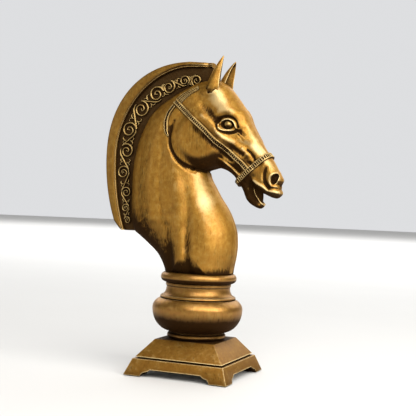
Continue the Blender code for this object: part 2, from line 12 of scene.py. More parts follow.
import bmesh
import bpy
import numpy as np
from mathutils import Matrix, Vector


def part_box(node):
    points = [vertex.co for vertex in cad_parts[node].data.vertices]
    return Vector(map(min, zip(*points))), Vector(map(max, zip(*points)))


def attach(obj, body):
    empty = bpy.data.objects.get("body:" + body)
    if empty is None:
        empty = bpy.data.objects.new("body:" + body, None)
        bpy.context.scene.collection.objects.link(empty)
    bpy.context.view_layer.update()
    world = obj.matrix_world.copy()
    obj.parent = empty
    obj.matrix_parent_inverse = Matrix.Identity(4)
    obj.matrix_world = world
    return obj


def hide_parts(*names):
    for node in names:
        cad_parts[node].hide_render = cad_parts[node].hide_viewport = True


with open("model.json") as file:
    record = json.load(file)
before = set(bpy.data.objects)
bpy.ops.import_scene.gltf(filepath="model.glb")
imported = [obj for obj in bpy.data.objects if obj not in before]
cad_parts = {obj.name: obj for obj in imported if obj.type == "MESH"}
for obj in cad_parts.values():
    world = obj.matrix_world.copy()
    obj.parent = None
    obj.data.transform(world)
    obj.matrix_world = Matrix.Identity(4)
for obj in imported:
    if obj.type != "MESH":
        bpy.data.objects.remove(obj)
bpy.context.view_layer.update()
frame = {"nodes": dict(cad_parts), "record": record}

import openvdb
from mathutils import Matrix, Vector
from mathutils.bvhtree import BVHTree

MM = 0.001
AXIS_X = (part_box("bulb")[0].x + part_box("bulb")[1].x) / 2 / MM
HORSE_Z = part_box("neck_shell_right")[0].z / MM
HORSE_CELL = 1.4
SIDES = ((-1, "right"), (1, "left"))


# ---- meshes in the frame


def put_in_frame(points):
    """Stem-axis millimetres to frame metres."""
    return (np.asarray(points, float) + (AXIS_X, 0, 0)) * MM


def linked(name, data):
    """A new object in the scene that shows this mesh, light or camera."""
    obj = bpy.data.objects.new(name, data)
    bpy.context.scene.collection.objects.link(obj)
    return obj


def finished(obj, material, nodes, smooth=40, body="root", slot="antique_gold"):
    """Gives a new piece its material and shading, hides the nodes it replaces and hangs it on the body it
    rides on.
    """
    obj.data.materials.append(material)
    obj.data.shade_smooth()
    if smooth < 180:
        obj.data.set_sharp_from_angle(angle=math.radians(smooth))
    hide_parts(*nodes)
    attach(obj, body)
    return obj


def new_piece(name, points, faces, material, nodes, **settings):
    mesh = bpy.data.meshes.new(name)
    mesh.from_pydata(put_in_frame(points).tolist(), [], [list(map(int, face)) for face in faces])
    mesh.validate()
    return finished(linked(name, mesh), material, nodes, **settings)


def recalculated(obj):
    """The piece, with all its faces turned outwards."""
    bm = bmesh.new()
    bm.from_mesh(obj.data)
    bmesh.ops.recalc_face_normals(bm, faces=bm.faces)
    bm.to_mesh(obj.data)
    bm.free()
    return obj


def set_hollows(obj, hollows):
    """Stores how deep each point lies, for the patina, and the painted shade and highlights laid over it.
    """
    values = obj.data.attributes.new("hollow", "FLOAT", "POINT")
    values.data.foreach_set("value", hollows)


# ---- curves and grids


def smooth_line(points, spacing=2.0):
    """Points about that far apart on a Catmull-Rom curve through the given ones."""
    points = np.asarray(points, float)
    padded = np.vstack([2 * points[0] - points[1], points, 2 * points[-1] - points[-2]])
    line = []
    for a, b, c, d in zip(padded, padded[1:], padded[2:], padded[3:]):
        for t in np.linspace(0, 1, max(2, int(np.linalg.norm(c - b) / spacing) + 1), endpoint=False):
            line.append(
                b + t * (c - a) / 2 + t**2 * (a - 2.5 * b + 2 * c - d / 2)
                + t**3 * (1.5 * (b - c) + (d - a) / 2)
            )
    return np.array(line + [points[-1]])


def smooth_loop(points):
    """The same for a closed run of points. The line ends where it starts."""
    points = [tuple(point) for point in points]
    line = smooth_line(points[-2:] + points + points[:2])
    first = np.argmin(np.linalg.norm(line - np.array(points[0]), axis=1))
    after = [i for i in range(first + 5, len(line)) if np.allclose(line[i], points[0])]
    return line[first : after[0] + 1]


def arc(centre, radii, start, end, points):
    """Points on an ellipse, with angles in degrees from the first axis."""
    angles = np.radians(np.linspace(start, end, points))
    return [(centre[0] + radii[0] * math.cos(a), centre[1] + radii[1] * math.sin(a)) for a in angles]


def lengths_along(points):
    """How far along a polyline each of its points lies."""
    return np.concatenate([[0], np.cumsum(np.linalg.norm(np.diff(points, axis=0), axis=1))])


def even(points, spacing):
    """The polyline's points at that even spacing."""
    points = np.asarray(points, float)
    steps = lengths_along(points)
    at = np.linspace(0, steps[-1], max(3, int(steps[-1] / spacing)))
    return np.stack([np.interp(at, steps, points[:, k]) for k in range(points.shape[1])], axis=1)


def line_distance(gx, gz, line):
    """Distance from each grid point to a polyline, and how far along it, 0 to 1, the nearest point lies."""
    best = np.full(gx.shape, 1e9, np.float32)
    where = np.zeros(gx.shape, np.float32)
    steps = np.linalg.norm(np.diff(line, axis=0), axis=1)
    total, done = max(steps.sum(), 1e-9), 0.0
    for (ax, az), (bx, bz), step in zip(line, line[1:], steps):
        if step < 1e-6:
            continue
        ux, uz = (bx - ax) / step, (bz - az) / step
        t = np.clip((gx - ax) * ux + (gz - az) * uz, 0, step)
        d = np.hypot(gx - ax - t * ux, gz - az - t * uz)
        nearer = d < best
        best[nearer] = d[nearer]
        where[nearer] = ((done + t) / total)[nearer]
        done += step
    return best, where


def depth_inside(gx, gz, outline):
    """Distance to a closed outline, positive inside it."""
    distance, _ = line_distance(gx, gz, outline)
    inside = np.zeros(gx.shape, bool)
    for (ax, az), (bx, bz) in zip(outline, outline[1:]):
        if az == bz:
            continue
        crosses = (gz >= min(az, bz)) & (gz < max(az, bz))
        inside ^= crosses & (gx < ax + (gz - az) * (bx - ax) / (bz - az))
    return np.where(inside, distance, -distance).astype(np.float32)


def spread(gx, gz, values, softness=14):
    """A smooth map through values set at a few points, as (x, z, value)."""
    total = np.zeros(gx.shape)
    weight = np.zeros(gx.shape)
    for x, z, value in values:
        w = 1 / ((gx - x) ** 2 + (gz - z) ** 2 + softness**2) ** 2
        total += w * value
        weight += w
    return (total / weight).astype(np.float32)


def smooth_min(a, b, blend):
    """The lesser of two distances, with the join between the forms rounded over."""
    h = np.clip(0.5 + 0.5 * (b - a) / blend, 0, 1)
    return b + (a - b) * h - blend * h * (1 - h)


def ramp(value, low, high):
    """0 at low, 1 at high, and a smooth step between."""
    t = np.clip((value - low) / (high - low), 0, 1)
    return t * t * (3 - 2 * t)


def hump(value, centre, width):
    """A bell curve, 1 at its centre."""
    return math.exp(-(((value - centre) / width) ** 2))


def field_mesh(field, origin, cell):
    """(points, quads) of the surface where a grid of signed distances is zero."""
    grid = openvdb.FloatGrid(float(field.max()))
    grid.copyFromArray(np.ascontiguousarray(field, np.float32))
    points, quads = grid.convertToQuads(0.0)
    points = points * cell + np.array(origin)
    return points, quads


# ---- the horse's form

HEAD_OUTLINE = [
    (8, 668), (28, 671), (48, 660), (65, 646), (81, 627), (95.5, 608), (107.5, 591), (114.5, 574),
    (122.5, 559), (134.5, 539), (148.5, 516), (164.5, 495), (178.5, 472), (188.5, 456), (192.5, 447),
    (190, 439), (187, 433), (187, 427), (190, 419), (187, 411), (180, 406), (168, 408), (156, 413),
    (143, 419),
    (131, 428), (124, 438), (126, 428), (130, 415), (138, 404), (147, 396), (151, 391), (148, 385),
    (141, 382), (129, 386), (116, 394), (107, 406), (101, 420), (95, 430), (87, 438), (81, 450),
    (68, 461), (56, 467), (40, 471), (26, 468), (10, 466), (-13, 472), (-48, 502), (-63, 543),
    (-62, 585), (-50, 620), (-25, 655),
]
NECK_OUTLINE = [
    (78, 200), (78, 226), (80, 243), (84, 262), (87, 285), (87, 305), (84, 330), (72, 362),
    (59, 384), (44, 404), (28, 430), (16, 452), (12, 480), (22, 520), (42, 560), (52, 600),
    (42, 640), (12, 664), (-10, 666), (-40, 656), (-81, 634), (-113, 612), (-139, 584),
    (-159, 542), (-170, 503), (-176, 458), (-176, 400), (-172, 350), (-164, 320), (-150, 308),
    (-130, 293), (-104, 272), (-91, 256), (-82, 240), (-78, 226), (-78, 200),
]
NECK_WIDTH = [
    (0, 205, 78), (0, 230, 78), (0, 262, 76.5), (-20, 300, 72), (-40, 340, 67), (-60, 400, 60),
    (-75, 460, 55), (-80, 520, 51), (-70, 580, 47), (-40, 630, 41), (10, 655, 34),
]
NECK_ROUNDING = [
    (0, 205, 78), (0, 230, 78), (0, 262, 80), (-40, 300, 90), (-90, 340, 100), (-120, 400, 98),
    (50, 330, 72), (20, 400, 66), (-120, 460, 92), (-110, 520, 80), (-80, 580, 62), (-30, 630, 38),
    (0, 520, 60),
]
HEAD_WIDTH = [
    (-50, 620, 37), (10, 650, 36), (50, 640, 42), (75, 600, 47), (60, 570, 47), (100, 575, 43),
    (0, 590, 46), (-30, 540, 46), (20, 500, 45), (60, 530, 42), (110, 545, 36), (90, 500, 36),
    (130, 520, 30), (60, 480, 37), (150, 490, 27), (120, 470, 30), (90, 455, 26), (170, 460, 26),
    (150, 440, 26), (175, 430, 23), (185, 415, 18), (160, 415, 22), (130, 440, 24), (110, 430, 20),
    (105, 410, 17), (125, 395, 15), (145, 390, 12), (185, 450, 24),
]
HEAD_ROUNDING = [
    (30, 650, 30), (75, 610, 30), (110, 580, 26), (150, 515, 20), (180, 465, 17), (190, 445, 14),
    (185, 415, 11), (160, 425, 16), (130, 440, 14), (115, 405, 13), (145, 390, 8), (90, 450, 18),
    (60, 480, 24), (10, 490, 26), (-50, 540, 26), (-40, 620, 30), (60, 540, 40), (0, 560, 50),
]
MOUTH_OUTLINE = [(118, 445), (136, 434), (146, 422), (146, 396), (136, 398), (118, 424)]
MOUTH_WIDTH, MOUTH_ROUNDING = 9, 6
JOWL_CENTRE, JOWL_RADIUS, JOWL_WIDTH, JOWL_ROUNDING = (8, 538), 72, 54, 30
HEAD_BLEND, JOWL_BLEND = 10, 6          # how softly head and jowl run into the neck
RELIEF_FADE, PATINA_AND_LIGHT_FADE = (4, 13), (4, 16)      # distances from the middle plane over which they set in
FINE_BLUR, BROAD_BLUR = 2.0, 8          # sizes of hollow that gather patina
FINE_DEPTH, BROAD_DEPTH = 0.5, 3.0      # how deep they are when they gather all they can
RELAX_ROUNDS, RELAX_BACK = 2, -0.5
EYE = (71, 566)
# The lines round the eye are drawn in by these factors, towards EYE[0] and this level.
DRAWN_IN, EYE_LEVEL = (0.95, 0.85), 565.5
NOSTRIL, NOSTRIL_RADII, NOSTRIL_LEAN = (178, 448), (7.6, 11.5), 0.22


def pillow(depth, width, rounding, y):
    """Roughly the distance to a form that is flat in its middle and rounds off towards its outline."""
    t = np.minimum(depth / rounding, 1)[:, :, None]
    w, r = width[:, :, None], rounding[:, :, None]
    value = (y / w) ** 2 + (1 - t) ** 2 - 1
    slope = np.sqrt((2 * y / w**2) ** 2 + (2 * (1 - t) / r) ** 2 + 4e-4)
    return np.clip(value / slope, -25, 25)


def add_stroke(relief, gx, gz, points, height, width):
    """Raises a rounded ridge along a line, or sinks a furrow. height and width may be (start, end)."""
    line = smooth_line(points) if len(points) > 1 else np.array([points[0], np.add(points[0], 0.01)])
    heights, widths = np.broadcast_to(height, 2), np.broadcast_to(width, 2)
    reach = 3 * widths.max()
    low, high = line.min(axis=0) - reach, line.max(axis=0) + reach
    i = slice(*np.searchsorted(gx[:, 0], [low[0], high[0]]))
    k = slice(*np.searchsorted(gz[0], [low[1], high[1]]))
    if gx[i, k].size == 0:
        return
    distance, along = line_distance(gx[i, k], gz[i, k], line)
    tall = heights[0] + (heights[1] - heights[0]) * along
    wide = widths[0] + (widths[1] - widths[0]) * along
    relief[i, k] += tall * np.exp(-((distance / wide) ** 2.0))


def nostril_reach(gx, gz):
    """Distance from the middle of the nostril, which is 1 at its edge."""
    x, z = NOSTRIL
    return np.hypot((gx - x - NOSTRIL_LEAN * (gz - z)) / NOSTRIL_RADII[0], (gz - z) / NOSTRIL_RADII[1])


def drawn_in(points):
    """The points of a line round the eye, drawn in, to a tenth of a millimetre."""
    return [(round(EYE[0] + (x - EYE[0]) * DRAWN_IN[0], 1),
             round(EYE_LEVEL + (z - EYE_LEVEL) * DRAWN_IN[1], 1)) for x, z in points]


def horse_relief(gx, gz):
    """Modelling on the sides of head and neck: millimetres outwards at each point of the side view."""
    relief = np.zeros(gx.shape, np.float32)

    def stroke(points, height, width):
        add_stroke(relief, gx, gz, points, height, width)

    # Jowl: a shallow dome inside a deep furrow, with a soft fold behind it.
    r = np.hypot(gx - JOWL_CENTRE[0], gz - JOWL_CENTRE[1])
    relief += 2.5 * np.clip(1 - (r / JOWL_RADIUS) ** 2, 0, 1)
    reach = (JOWL_RADIUS + 2, JOWL_RADIUS + 2)
    stroke(arc(JOWL_CENTRE, reach, 152, 255, 14), (-1.8, -4.0), (4.4, 3.8))
    stroke(arc(JOWL_CENTRE, reach, 256, 312, 14), (-4.5, -0.4), (3.4, 5))
    fold = arc(JOWL_CENTRE, (JOWL_RADIUS + 8, JOWL_RADIUS + 8), 172, 268, 16)
    stroke(fold, (0.3, 0.9), 6.0)
    stroke([(-66, 520), (-56, 500), (-40, 480), (-22, 464), (-4, 458)], (-0.8, -2.2), (3.6, 3.6))

    # Cheek: the hollow below the cheek strap, and the long facial crest in front of it.
    stroke([(24, 540), (50, 516), (80, 490)], (-2.0, -3.5), (7, 6))
    stroke([(34, 575), (60, 540), (84, 524), (112, 500)], (1.6, 2.6), 7)
    stroke([(60, 488), (80, 470), (98, 454)], (2.0, 2.4), 4.0)
    stroke([(54, 494), (76, 478), (98, 462)], (-2.0, -3.0), 3.0)

    # Brow, hollow of the temple, forehead.
    stroke([(46, 588), (60, 596), (76, 597), (92, 588)], (2.6, 2.4), (11, 9))
    stroke([(10, 610), (26, 596), (38, 583), (49, 572)], (-1.6, -4.6), (8, 9))
    stroke([(42, 625)], 4.5, 20)
    stroke([(18, 642), (36, 648)], 6.5, 17)
    stroke([(14, 583), (30, 566), (52, 545)], 1.8, 8)
    stroke([(100, 598), (112, 568), (132, 534)], 1.5, 7)
    stroke([(99, 590), (103, 574), (106, 558)], -1.0, 6)

    # Eye: socket, lids, the creases round them and the tear duct.
    socket = np.hypot((gx - EYE[0] - 0.5) / 14.5, (gz - EYE[1] + 1) / 9.6)
    relief[...] -= 5.5 * ramp(-socket, -1.1, -0.8)
    upper = drawn_in([(51, 565), (55, 572), (62, 577.5), (71, 579.5), (80, 577), (87, 569), (92, 556)])
    lower = drawn_in([(51, 565), (53, 557), (60, 551.5), (70, 549.5), (80, 550), (92, 554)])
    stroke(upper, (2.0, 2.4), 1.9)
    stroke(lower, (1.9, 1.5), 2.0)
    above = drawn_in([(43, 572), (52, 580.5), (62, 585), (73, 586), (84, 582), (92, 573), (96, 559)])
    below = drawn_in([(47, 562), (50, 552), (59, 545.5), (71, 543.5), (83, 544), (92, 548)])
    stroke(above, (-4.0, -3.0), 2.0)
    stroke(below, (-1.8, -2.6), 2.0)
    stroke([(91, 554), (98, 549), (105, 542), (112, 536)], (-3.8, -0.5), (2.6, 3.0))
    stroke([(100, 553), (108, 545), (117, 537)], (-1.6, -0.3), 2.0)
    stroke([(94, 545), (101, 537), (107, 529)], (-1.6, -0.3), 2.0)

    # Side of the face: two long creases, and the pits by the noseband.
    stroke([(82, 515), (94, 508), (106, 500)], (-2.0, -3.2), (6, 5))
    stroke([(106, 514), (117, 502), (124, 488)], (2.0, 1.2), 3.8)
    stroke([(116, 511), (124, 504), (131, 494), (135, 484)], (-1.6, -2.8), (2.3, 2.9))
    stroke([(122, 482), (128, 475)], -2.6, 3.6)
    stroke([(146, 480), (150, 462)], -1.2, 7)

    # Nostril: a deep drop-shaped opening with a raised wing, and the folds behind it.
    relief[...] -= 16 * ramp(-nostril_reach(gx, gz), -1.1, -0.6)
    wing = [(186, 464), (177, 462), (168.5, 454), (167, 443), (172, 433), (184, 431)]
    stroke(wing, (1.0, 2.6), 3.0)
    stroke([(160, 472), (156, 456), (157, 442), (165, 428)], (-2.0, -4.0), 4.0)
    stroke([(152, 474), (149, 458), (151, 444)], (1.6, 2.2), 4.5)

    # Lips: the long soft pad of the upper one, the rim of the lower one, and the chin.
    stroke([(130, 442), (146, 433), (164, 422), (184, 418)], (2.4, 3.4), (5, 6))
    stroke([(126, 434), (141, 421), (158, 414), (176, 409)], (-1.5, -1.0), 2.2)
    stroke([(127, 434), (131, 416), (139, 404), (149, 392)], 3.0, 2.2)
    stroke([(120, 434), (124, 416), (133, 402)], (-3.0, -1.6), 3.0)
    stroke([(115, 404), (130, 392)], 2.2, 6)
    stroke([(100, 447), (108, 440), (116, 432)], -1.8, 3.0)
    stroke([(60, 475), (80, 462), (96, 448)], (1.4, 1.2), 4.0)
    stroke([(45, 482), (66, 470), (84, 458)], (-2.4, -1.5), 3.0)

    # Neck: two broad muscles run down from the jowl, parted by a furrow that deepens to the ring.
    rear = [(-62, 505), (-52, 470), (-43, 430), (-38, 400), (-32, 360), (-27, 330), (-20, 292), (-14, 262)]
    furrow = [(-26, 440), (-14, 400), (-7, 370), (-4, 335), (-2, 300), (0, 262), (3, 232)]
    front = [(2, 455), (12, 425), (26, 392), (38, 360), (46, 330), (50, 290), (50, 240)]
    stroke(rear, (1.6, 2.6), 13)
    stroke(furrow, (-0.8, -3.6), 9)
    stroke(front, (2.4, 3.0), (17, 22))
    stroke([(-52, 350), (-50, 310), (-46, 270), (-42, 232)], (-0.6, -5.5), (10, 13))
    stroke([(24, 440), (40, 421), (52, 407), (64, 392), (76, 372)], (-2.6, -0.4), (2.6, 3.0))
    stroke([(-96, 560), (-108, 500), (-112, 420), (-96, 350)], (0.8, 1.4), 9)
    stroke([(-82, 520), (-86, 450), (-76, 380), (-62, 340)], (-0.8, -1.4), 7)
    stroke([(-132, 540), (-142, 460), (-136, 380), (-108, 320)], (-0.8, -1.2), 8)
    return relief


def horse_patina_and_painted_light(gx, gz):
    """Where patina and painted shade lie on the sides of the horse (above zero), and where it is rubbed off
    with painted highlights (below).
    """
    patina_and_painted_light = np.zeros(gx.shape, np.float32)

    def stroke(points, amount, width):
        add_stroke(patina_and_painted_light, gx, gz, points, amount, width)

    # Head, thick patina and painted shade: behind the eye, tear duct, eye corners, pits, nostril, jaw,
    # jowl, by the ear, and a painted shadow along the strap.
    stroke([(12, 608), (26, 596), (38, 583), (50, 571)], (0.5, 1.25), (9, 12))
    above = drawn_in([(46, 573), (54, 583), (66, 587), (80, 586), (91, 577), (96, 562)])
    stroke(above, (1.2, 0.8), 3.6)
    stroke(drawn_in([(47, 562), (52, 550), (62, 543), (76, 541), (90, 546)]), (1.0, 1.0), 3.2)
    stroke([(93, 553), (101, 546), (110, 538)], (1.1, 0.5), (6, 8))
    stroke([(94, 590), (96, 572), (96, 560)], (0.3, 0.5), 6)
    stroke([(56, 565), (60, 565)], 0.8, 4)
    stroke([(84, 560), (88, 558)], 0.9, 4)
    stroke([(82, 515), (94, 508), (108, 499)], (0.6, 0.9), 7)
    stroke([(118, 508), (126, 501), (134, 486)], (0.7, 1.0), 4)
    stroke([(116, 484), (128, 474)], 0.7, 7)
    stroke([(177, 441), (180, 456)], 1.5, 8.5)
    stroke([(159, 470), (156, 455), (159, 437), (168, 427)], (0.7, 1.3), 6)
    stroke([(112, 446), (118, 420), (130, 400)], (1.6, 1.6), 11)
    stroke([(104, 425), (116, 400), (134, 390)], (1.7, 1.3), 9)
    stroke([(46, 478), (68, 466), (90, 448), (104, 436)], (1.0, 1.3), 8)
    # Painted shadow of the cheek strap.
    stroke([(-6, 560), (20, 536), (48, 512), (78, 488), (100, 468)], (0.8, 1.1), 6)
    stroke([(-66, 560), (-58, 520), (-40, 490), (-12, 470), (14, 463), (36, 466)], (0.7, 1.0), 7)
    stroke([(0, 540), (10, 530)], 0.42, 46)
    stroke([(8, 634), (24, 630), (42, 636)], 0.45, 4)
    stroke([(60, 655), (84, 626)], 0.25, 10)
    stroke([(14, 650), (2, 640)], 0.7, 9)

    # Head, rubbed pale with painted highlights: forehead, brow, cheekbone, bridge of the nose and lips.
    stroke([(36, 632), (50, 616)], -1.5, 20)
    stroke([(50, 593), (64, 599), (80, 597)], -0.5, 10)
    stroke([(62, 538), (84, 533), (106, 528), (128, 518), (146, 506)], (-0.5, -1.5), (7, 9))
    stroke([(112, 560), (128, 536), (152, 506)], (-0.6, -1.2), 8)
    stroke([(158, 490), (176, 472), (188, 460)], (-1.0, -1.0), 9)
    stroke([(132, 441), (150, 430), (168, 420), (186, 417)], -1.5, 6)
    stroke([(10, 588), (32, 566), (58, 543), (84, 524)], -0.6, 6)
    stroke([(104, 512), (116, 500)], -0.5, 4)

    # Neck, thick patina and painted shade: its back and foot, the furrows, and a painted shadow along the
    # crest's foot.
    stroke([(-154, 560), (-168, 480), (-168, 400), (-150, 325)], (0.6, 1.0), 19)
    stroke([(-118, 520), (-130, 430), (-116, 360)], (0.45, 0.7), 17)
    stroke([(-84, 440), (-80, 380), (-70, 340)], (0.1, 0.4), 7)
    stroke([(-140, 335), (-108, 305), (-84, 268), (-72, 236)], (0.7, 1.05), 28)
    stroke([(-58, 350), (-52, 310), (-46, 270), (-42, 228)], (0.3, 1.7), (16, 26))
    stroke([(-14, 390), (-6, 360), (-3, 320), (0, 275), (3, 230)], (0.1, 1.1), (8, 15))
    stroke([(26, 438), (42, 420), (54, 405), (68, 388)], (1.1, 0.5), 4.5)
    stroke([(76, 376), (86, 340), (90, 300), (86, 250)], (0.5, 0.7), 7)
    # Painted shade above the neck ring.
    stroke([(-80, 228), (84, 228)], 1.9, 14)
    # Painted contact shadow where the neck meets the crest.
    crest_foot = [(-36, 654), (-78, 632), (-110, 609), (-137, 581), (-158, 542), (-170, 503), (-176, 458),
                  (-176, 400), (-168, 335)]
    stroke(crest_foot, 1.2, 6)
    stroke(arc(JOWL_CENTRE, (JOWL_RADIUS + 6, JOWL_RADIUS + 6), 165, 290, 14), 0.7, 7)

    # Neck, rubbed pale with painted highlights: the two muscles.
    rear = [(-58, 492), (-50, 462), (-42, 425), (-37, 395), (-31, 355), (-24, 315), (-17, 280)]
    stroke(rear, (-0.55, -0.1), 12)
    stroke([(-2, 462), (6, 440), (16, 414), (28, 390)], (-0.9, -0.8), 16)
    stroke([(28, 390), (42, 356), (50, 320), (53, 285)], (-0.7, -0.1), 22)
    return patina_and_painted_light


def box_blur(field, cells):
    """Mean over a cube of 2 * cells + 1, worked one axis at a time."""
    for axis in range(3):
        padded = np.pad(field, [(cells + 1, cells) if a == axis else (0, 0) for a in range(3)], mode="edge")
        sums = np.cumsum(padded, axis=axis, dtype=np.float32)
        size = field.shape[axis]
        upper = np.take(sums, range(2 * cells + 1, 2 * cells + 1 + size), axis=axis)
        lower = np.take(sums, range(size), axis=axis)
        field = (upper - lower) / (2 * cells + 1)
    return field


def sample(field, cells):
    """The field at each point given in grid units, interpolated between the eight samples round it."""
    low = np.clip(np.floor(cells).astype(int), 0, np.array(field.shape) - 2)
    share = cells - low
    total = np.zeros(len(cells))
    for corner in np.ndindex(2, 2, 2):
        weight = np.prod(np.where(corner, share, 1 - share), axis=1)
        i, j, k = (low + corner).T
        total += weight * field[i, j, k]
    return total


def sculpt_horse(cell):
    """(points, quads, hollows) of both sides of the horse, in stem millimetres."""
    low_x, high_x, low_z, high_z, high_y = -186, 204, HORSE_Z - 8, 684, 88
    xs = np.arange(low_x, high_x, cell, dtype=np.float32)
    zs = np.arange(low_z, high_z, cell, dtype=np.float32)
    ys = (np.arange(int(high_y / cell), dtype=np.float32) + 0.5) * cell
    gx, gz = np.meshgrid(xs, zs, indexing="ij")
    y = ys[None, None, :]

    neck = pillow(depth_inside(gx, gz, smooth_loop(NECK_OUTLINE)), spread(gx, gz, NECK_WIDTH),
                  spread(gx, gz, NECK_ROUNDING), y)
    head = pillow(depth_inside(gx, gz, smooth_loop(HEAD_OUTLINE)), spread(gx, gz, HEAD_WIDTH),
                  spread(gx, gz, HEAD_ROUNDING, 10), y)
    jowl_depth = JOWL_RADIUS - np.hypot(gx - JOWL_CENTRE[0], gz - JOWL_CENTRE[1])
    flat = np.ones_like(gx)
    jowl = pillow(jowl_depth, JOWL_WIDTH * flat, JOWL_ROUNDING * flat, y)
    mouth_depth = depth_inside(gx, gz, smooth_loop(MOUTH_OUTLINE))
    mouth = pillow(mouth_depth, MOUTH_WIDTH * flat, MOUTH_ROUNDING * flat, y)

    form = smooth_min(neck, head, HEAD_BLEND)
    form = smooth_min(form, jowl, JOWL_BLEND)
    form = np.minimum(form, mouth)
    relief = horse_relief(gx, gz)[:, :, None]
    form = form - relief * ramp(y, *RELIEF_FADE)

    form = np.concatenate([form[:, :, ::-1], form], axis=2)
    origin = (low_x, low_z, -(len(ys) - 0.5) * cell)
    points, quads = field_mesh(np.maximum(form, (HORSE_Z - gz)[:, :, None]), origin, cell)
    in_cells = (points - np.array(origin)) / cell
    fine = box_blur(form, max(1, round(FINE_BLUR / cell)))
    broad = box_blur(fine, round(BROAD_BLUR / cell))
    hollows = np.clip(-sample(fine, in_cells) / FINE_DEPTH, -1, 1)
    hollows = hollows + np.clip(-sample(broad, in_cells) / BROAD_DEPTH, -1, 1)
    # Patina, painted shade and painted highlights, from the side view.
    patina_and_painted_light = sample(np.repeat(horse_patina_and_painted_light(gx, gz)[:, :, None], 2, axis=2), in_cells * (1, 1, 0))
    hollows += patina_and_painted_light * ramp(np.abs(points[:, 2]), *PATINA_AND_LIGHT_FADE)
    # Painted shade in the gape, only within 12 mm of the middle plane, and in the nostrils at every depth.
    gape = 2.0 * ramp(mouth_depth, -3.0, 0.5)
    nostrils = 2.5 * ramp(-nostril_reach(gx, gz), -1.12, -0.8)
    openings = gape[:, :, None] * np.array([1, 0]) + nostrils[:, :, None]
    off_middle = np.abs(points[:, 2]) > 12
    hollows += sample(openings, np.column_stack([in_cells[:, :2], off_middle]))
    return points[:, [0, 2, 1]], quads, hollows.astype(np.float32)


def outward(points, quads):
    """The quads, turned so that they face out."""
    a, b, c, d = points[quads].transpose(1, 0, 2)
    volume = np.einsum("ij,ij->i", a, np.cross(b, c) + np.cross(c, d)).sum()
    return quads[:, ::-1] if volume < 0 else quads


def relaxed(points, faces, rounds, back):
    """Points drawn towards the mean of their neighbours and part way back, which removes grid ripples."""
    a = np.concatenate([faces[:, i] for i in range(4)])
    b = np.concatenate([faces[:, (i + 1) % 4] for i in range(4)])
    count = np.bincount(a, minlength=len(points)) + np.bincount(b, minlength=len(points))
    for share in (0.5, back) * rounds:
        mean = np.zeros_like(points)
        for axis in range(3):
            mean[:, axis] = (np.bincount(a, points[b, axis], len(points))
                             + np.bincount(b, points[a, axis], len(points)))
        mean /= count[:, None]
        points = points + share * (mean - points)
    return points


def triangles_of(quads):
    return np.concatenate([quads[:, [0, 1, 2]], quads[:, [0, 2, 3]]])


def horse_half(name, points, quads, hollows, side, material, node):
    """One side of the horse, split along the seam and closed with a flat face there."""
    chosen = quads[np.sign(points[quads, 1].mean(axis=1)) == side]
    used, faces = np.unique(chosen, return_inverse=True)
    faces = faces.reshape(chosen.shape)
    obj = new_piece(name, points[used], faces, material, [node], smooth=180)
    bm = bmesh.new()
    bm.from_mesh(obj.data)
    edges = [edge for edge in bm.edges if edge.is_boundary]
    bmesh.ops.edgeloop_fill(bm, edges=edges)
    for edge in edges:
        edge.smooth = False
    bm.to_mesh(obj.data)
    bm.free()
    set_hollows(obj, hollows[used])


# ---- swept and turned shapes


def unit(vectors):
    vectors = np.asarray(vectors, float)
    return vectors / np.maximum(np.linalg.norm(vectors, axis=-1, keepdims=True), 1e-9)


def sweep(path, out, section, closed=False, scale=None):
    """(points, faces) of a closed section of (across, out) millimetres carried along a path."""
    path, out = np.asarray(path, float), unit(out)
    if closed:
        ahead = np.roll(path, -1, axis=0) - np.roll(path, 1, axis=0)
    else:
        ahead = np.gradient(path, axis=0)
    across = unit(np.cross(ahead, out))
    out = unit(np.cross(across, ahead))
    section = np.asarray(section, float)
    scale = np.ones((len(path), 2)) if scale is None else np.asarray(scale, float)
    grid = (
        path[:, None]
        + across[:, None] * (section[None, :, :1] * scale[:, None, :1])
        + out[:, None] * (section[None, :, 1:] * scale[:, None, 1:])
    )
    rows, columns = grid.shape[:2]
    return skin(grid.reshape(-1, 3), rows, columns, closed)


def skin(points, rows, columns, closed):
    """Quads between successive rings of points, with an end face at each end of an open row."""
    faces = []
    for i in range(rows if closed else rows - 1):
        one, other = i * columns, (i + 1) % rows * columns
        for j in range(columns):
            k = (j + 1) % columns
            faces.append((one + j, one + k, other + k, other + j))
    if not closed:
        faces.append(tuple(reversed(range(columns))))
        faces.append(tuple(range((rows - 1) * columns, rows * columns)))
    return points, faces


def joined(shapes):
    """Several (points, faces) as one."""
    points, faces, count = [], [], 0
    for shape_points, shape_faces in shapes:
        points.append(shape_points)
        faces += [tuple(index + count for index in face) for face in shape_faces]
        count += len(shape_points)
    return np.concatenate(points), faces


def turned(profile, steps=128):
    """(points, faces) of a ring turned about the stem's axis from a closed profile of (radius, z)."""
    profile = np.array(profile, float)
    angles = np.linspace(0, 2 * math.pi, steps, endpoint=False)
    grid = np.stack(
        [profile[None, :, 0] * np.cos(angles)[:, None],
         profile[None, :, 0] * np.sin(angles)[:, None],
         np.broadcast_to(profile[:, 1], (steps, len(profile)))], axis=-1,
    )
    return skin(grid.reshape(-1, 3), steps, len(profile), True)


# ---- ears and eyes

EAR_BASE, EAR_TIP = np.array((29, 27, 631)), np.array((53.5, 40, 721))
EAR_OPENING = (0.93, -0.30, -0.20)
EAR_STATIONS = (0, 0.10, 0.19, 0.34, 0.53, 0.72, 0.87, 0.955, 1.0)
EAR_HALF_WIDTHS = (17, 20, 20.5, 18.0, 14.3, 10.4, 5.9, 2.9, 0.4)


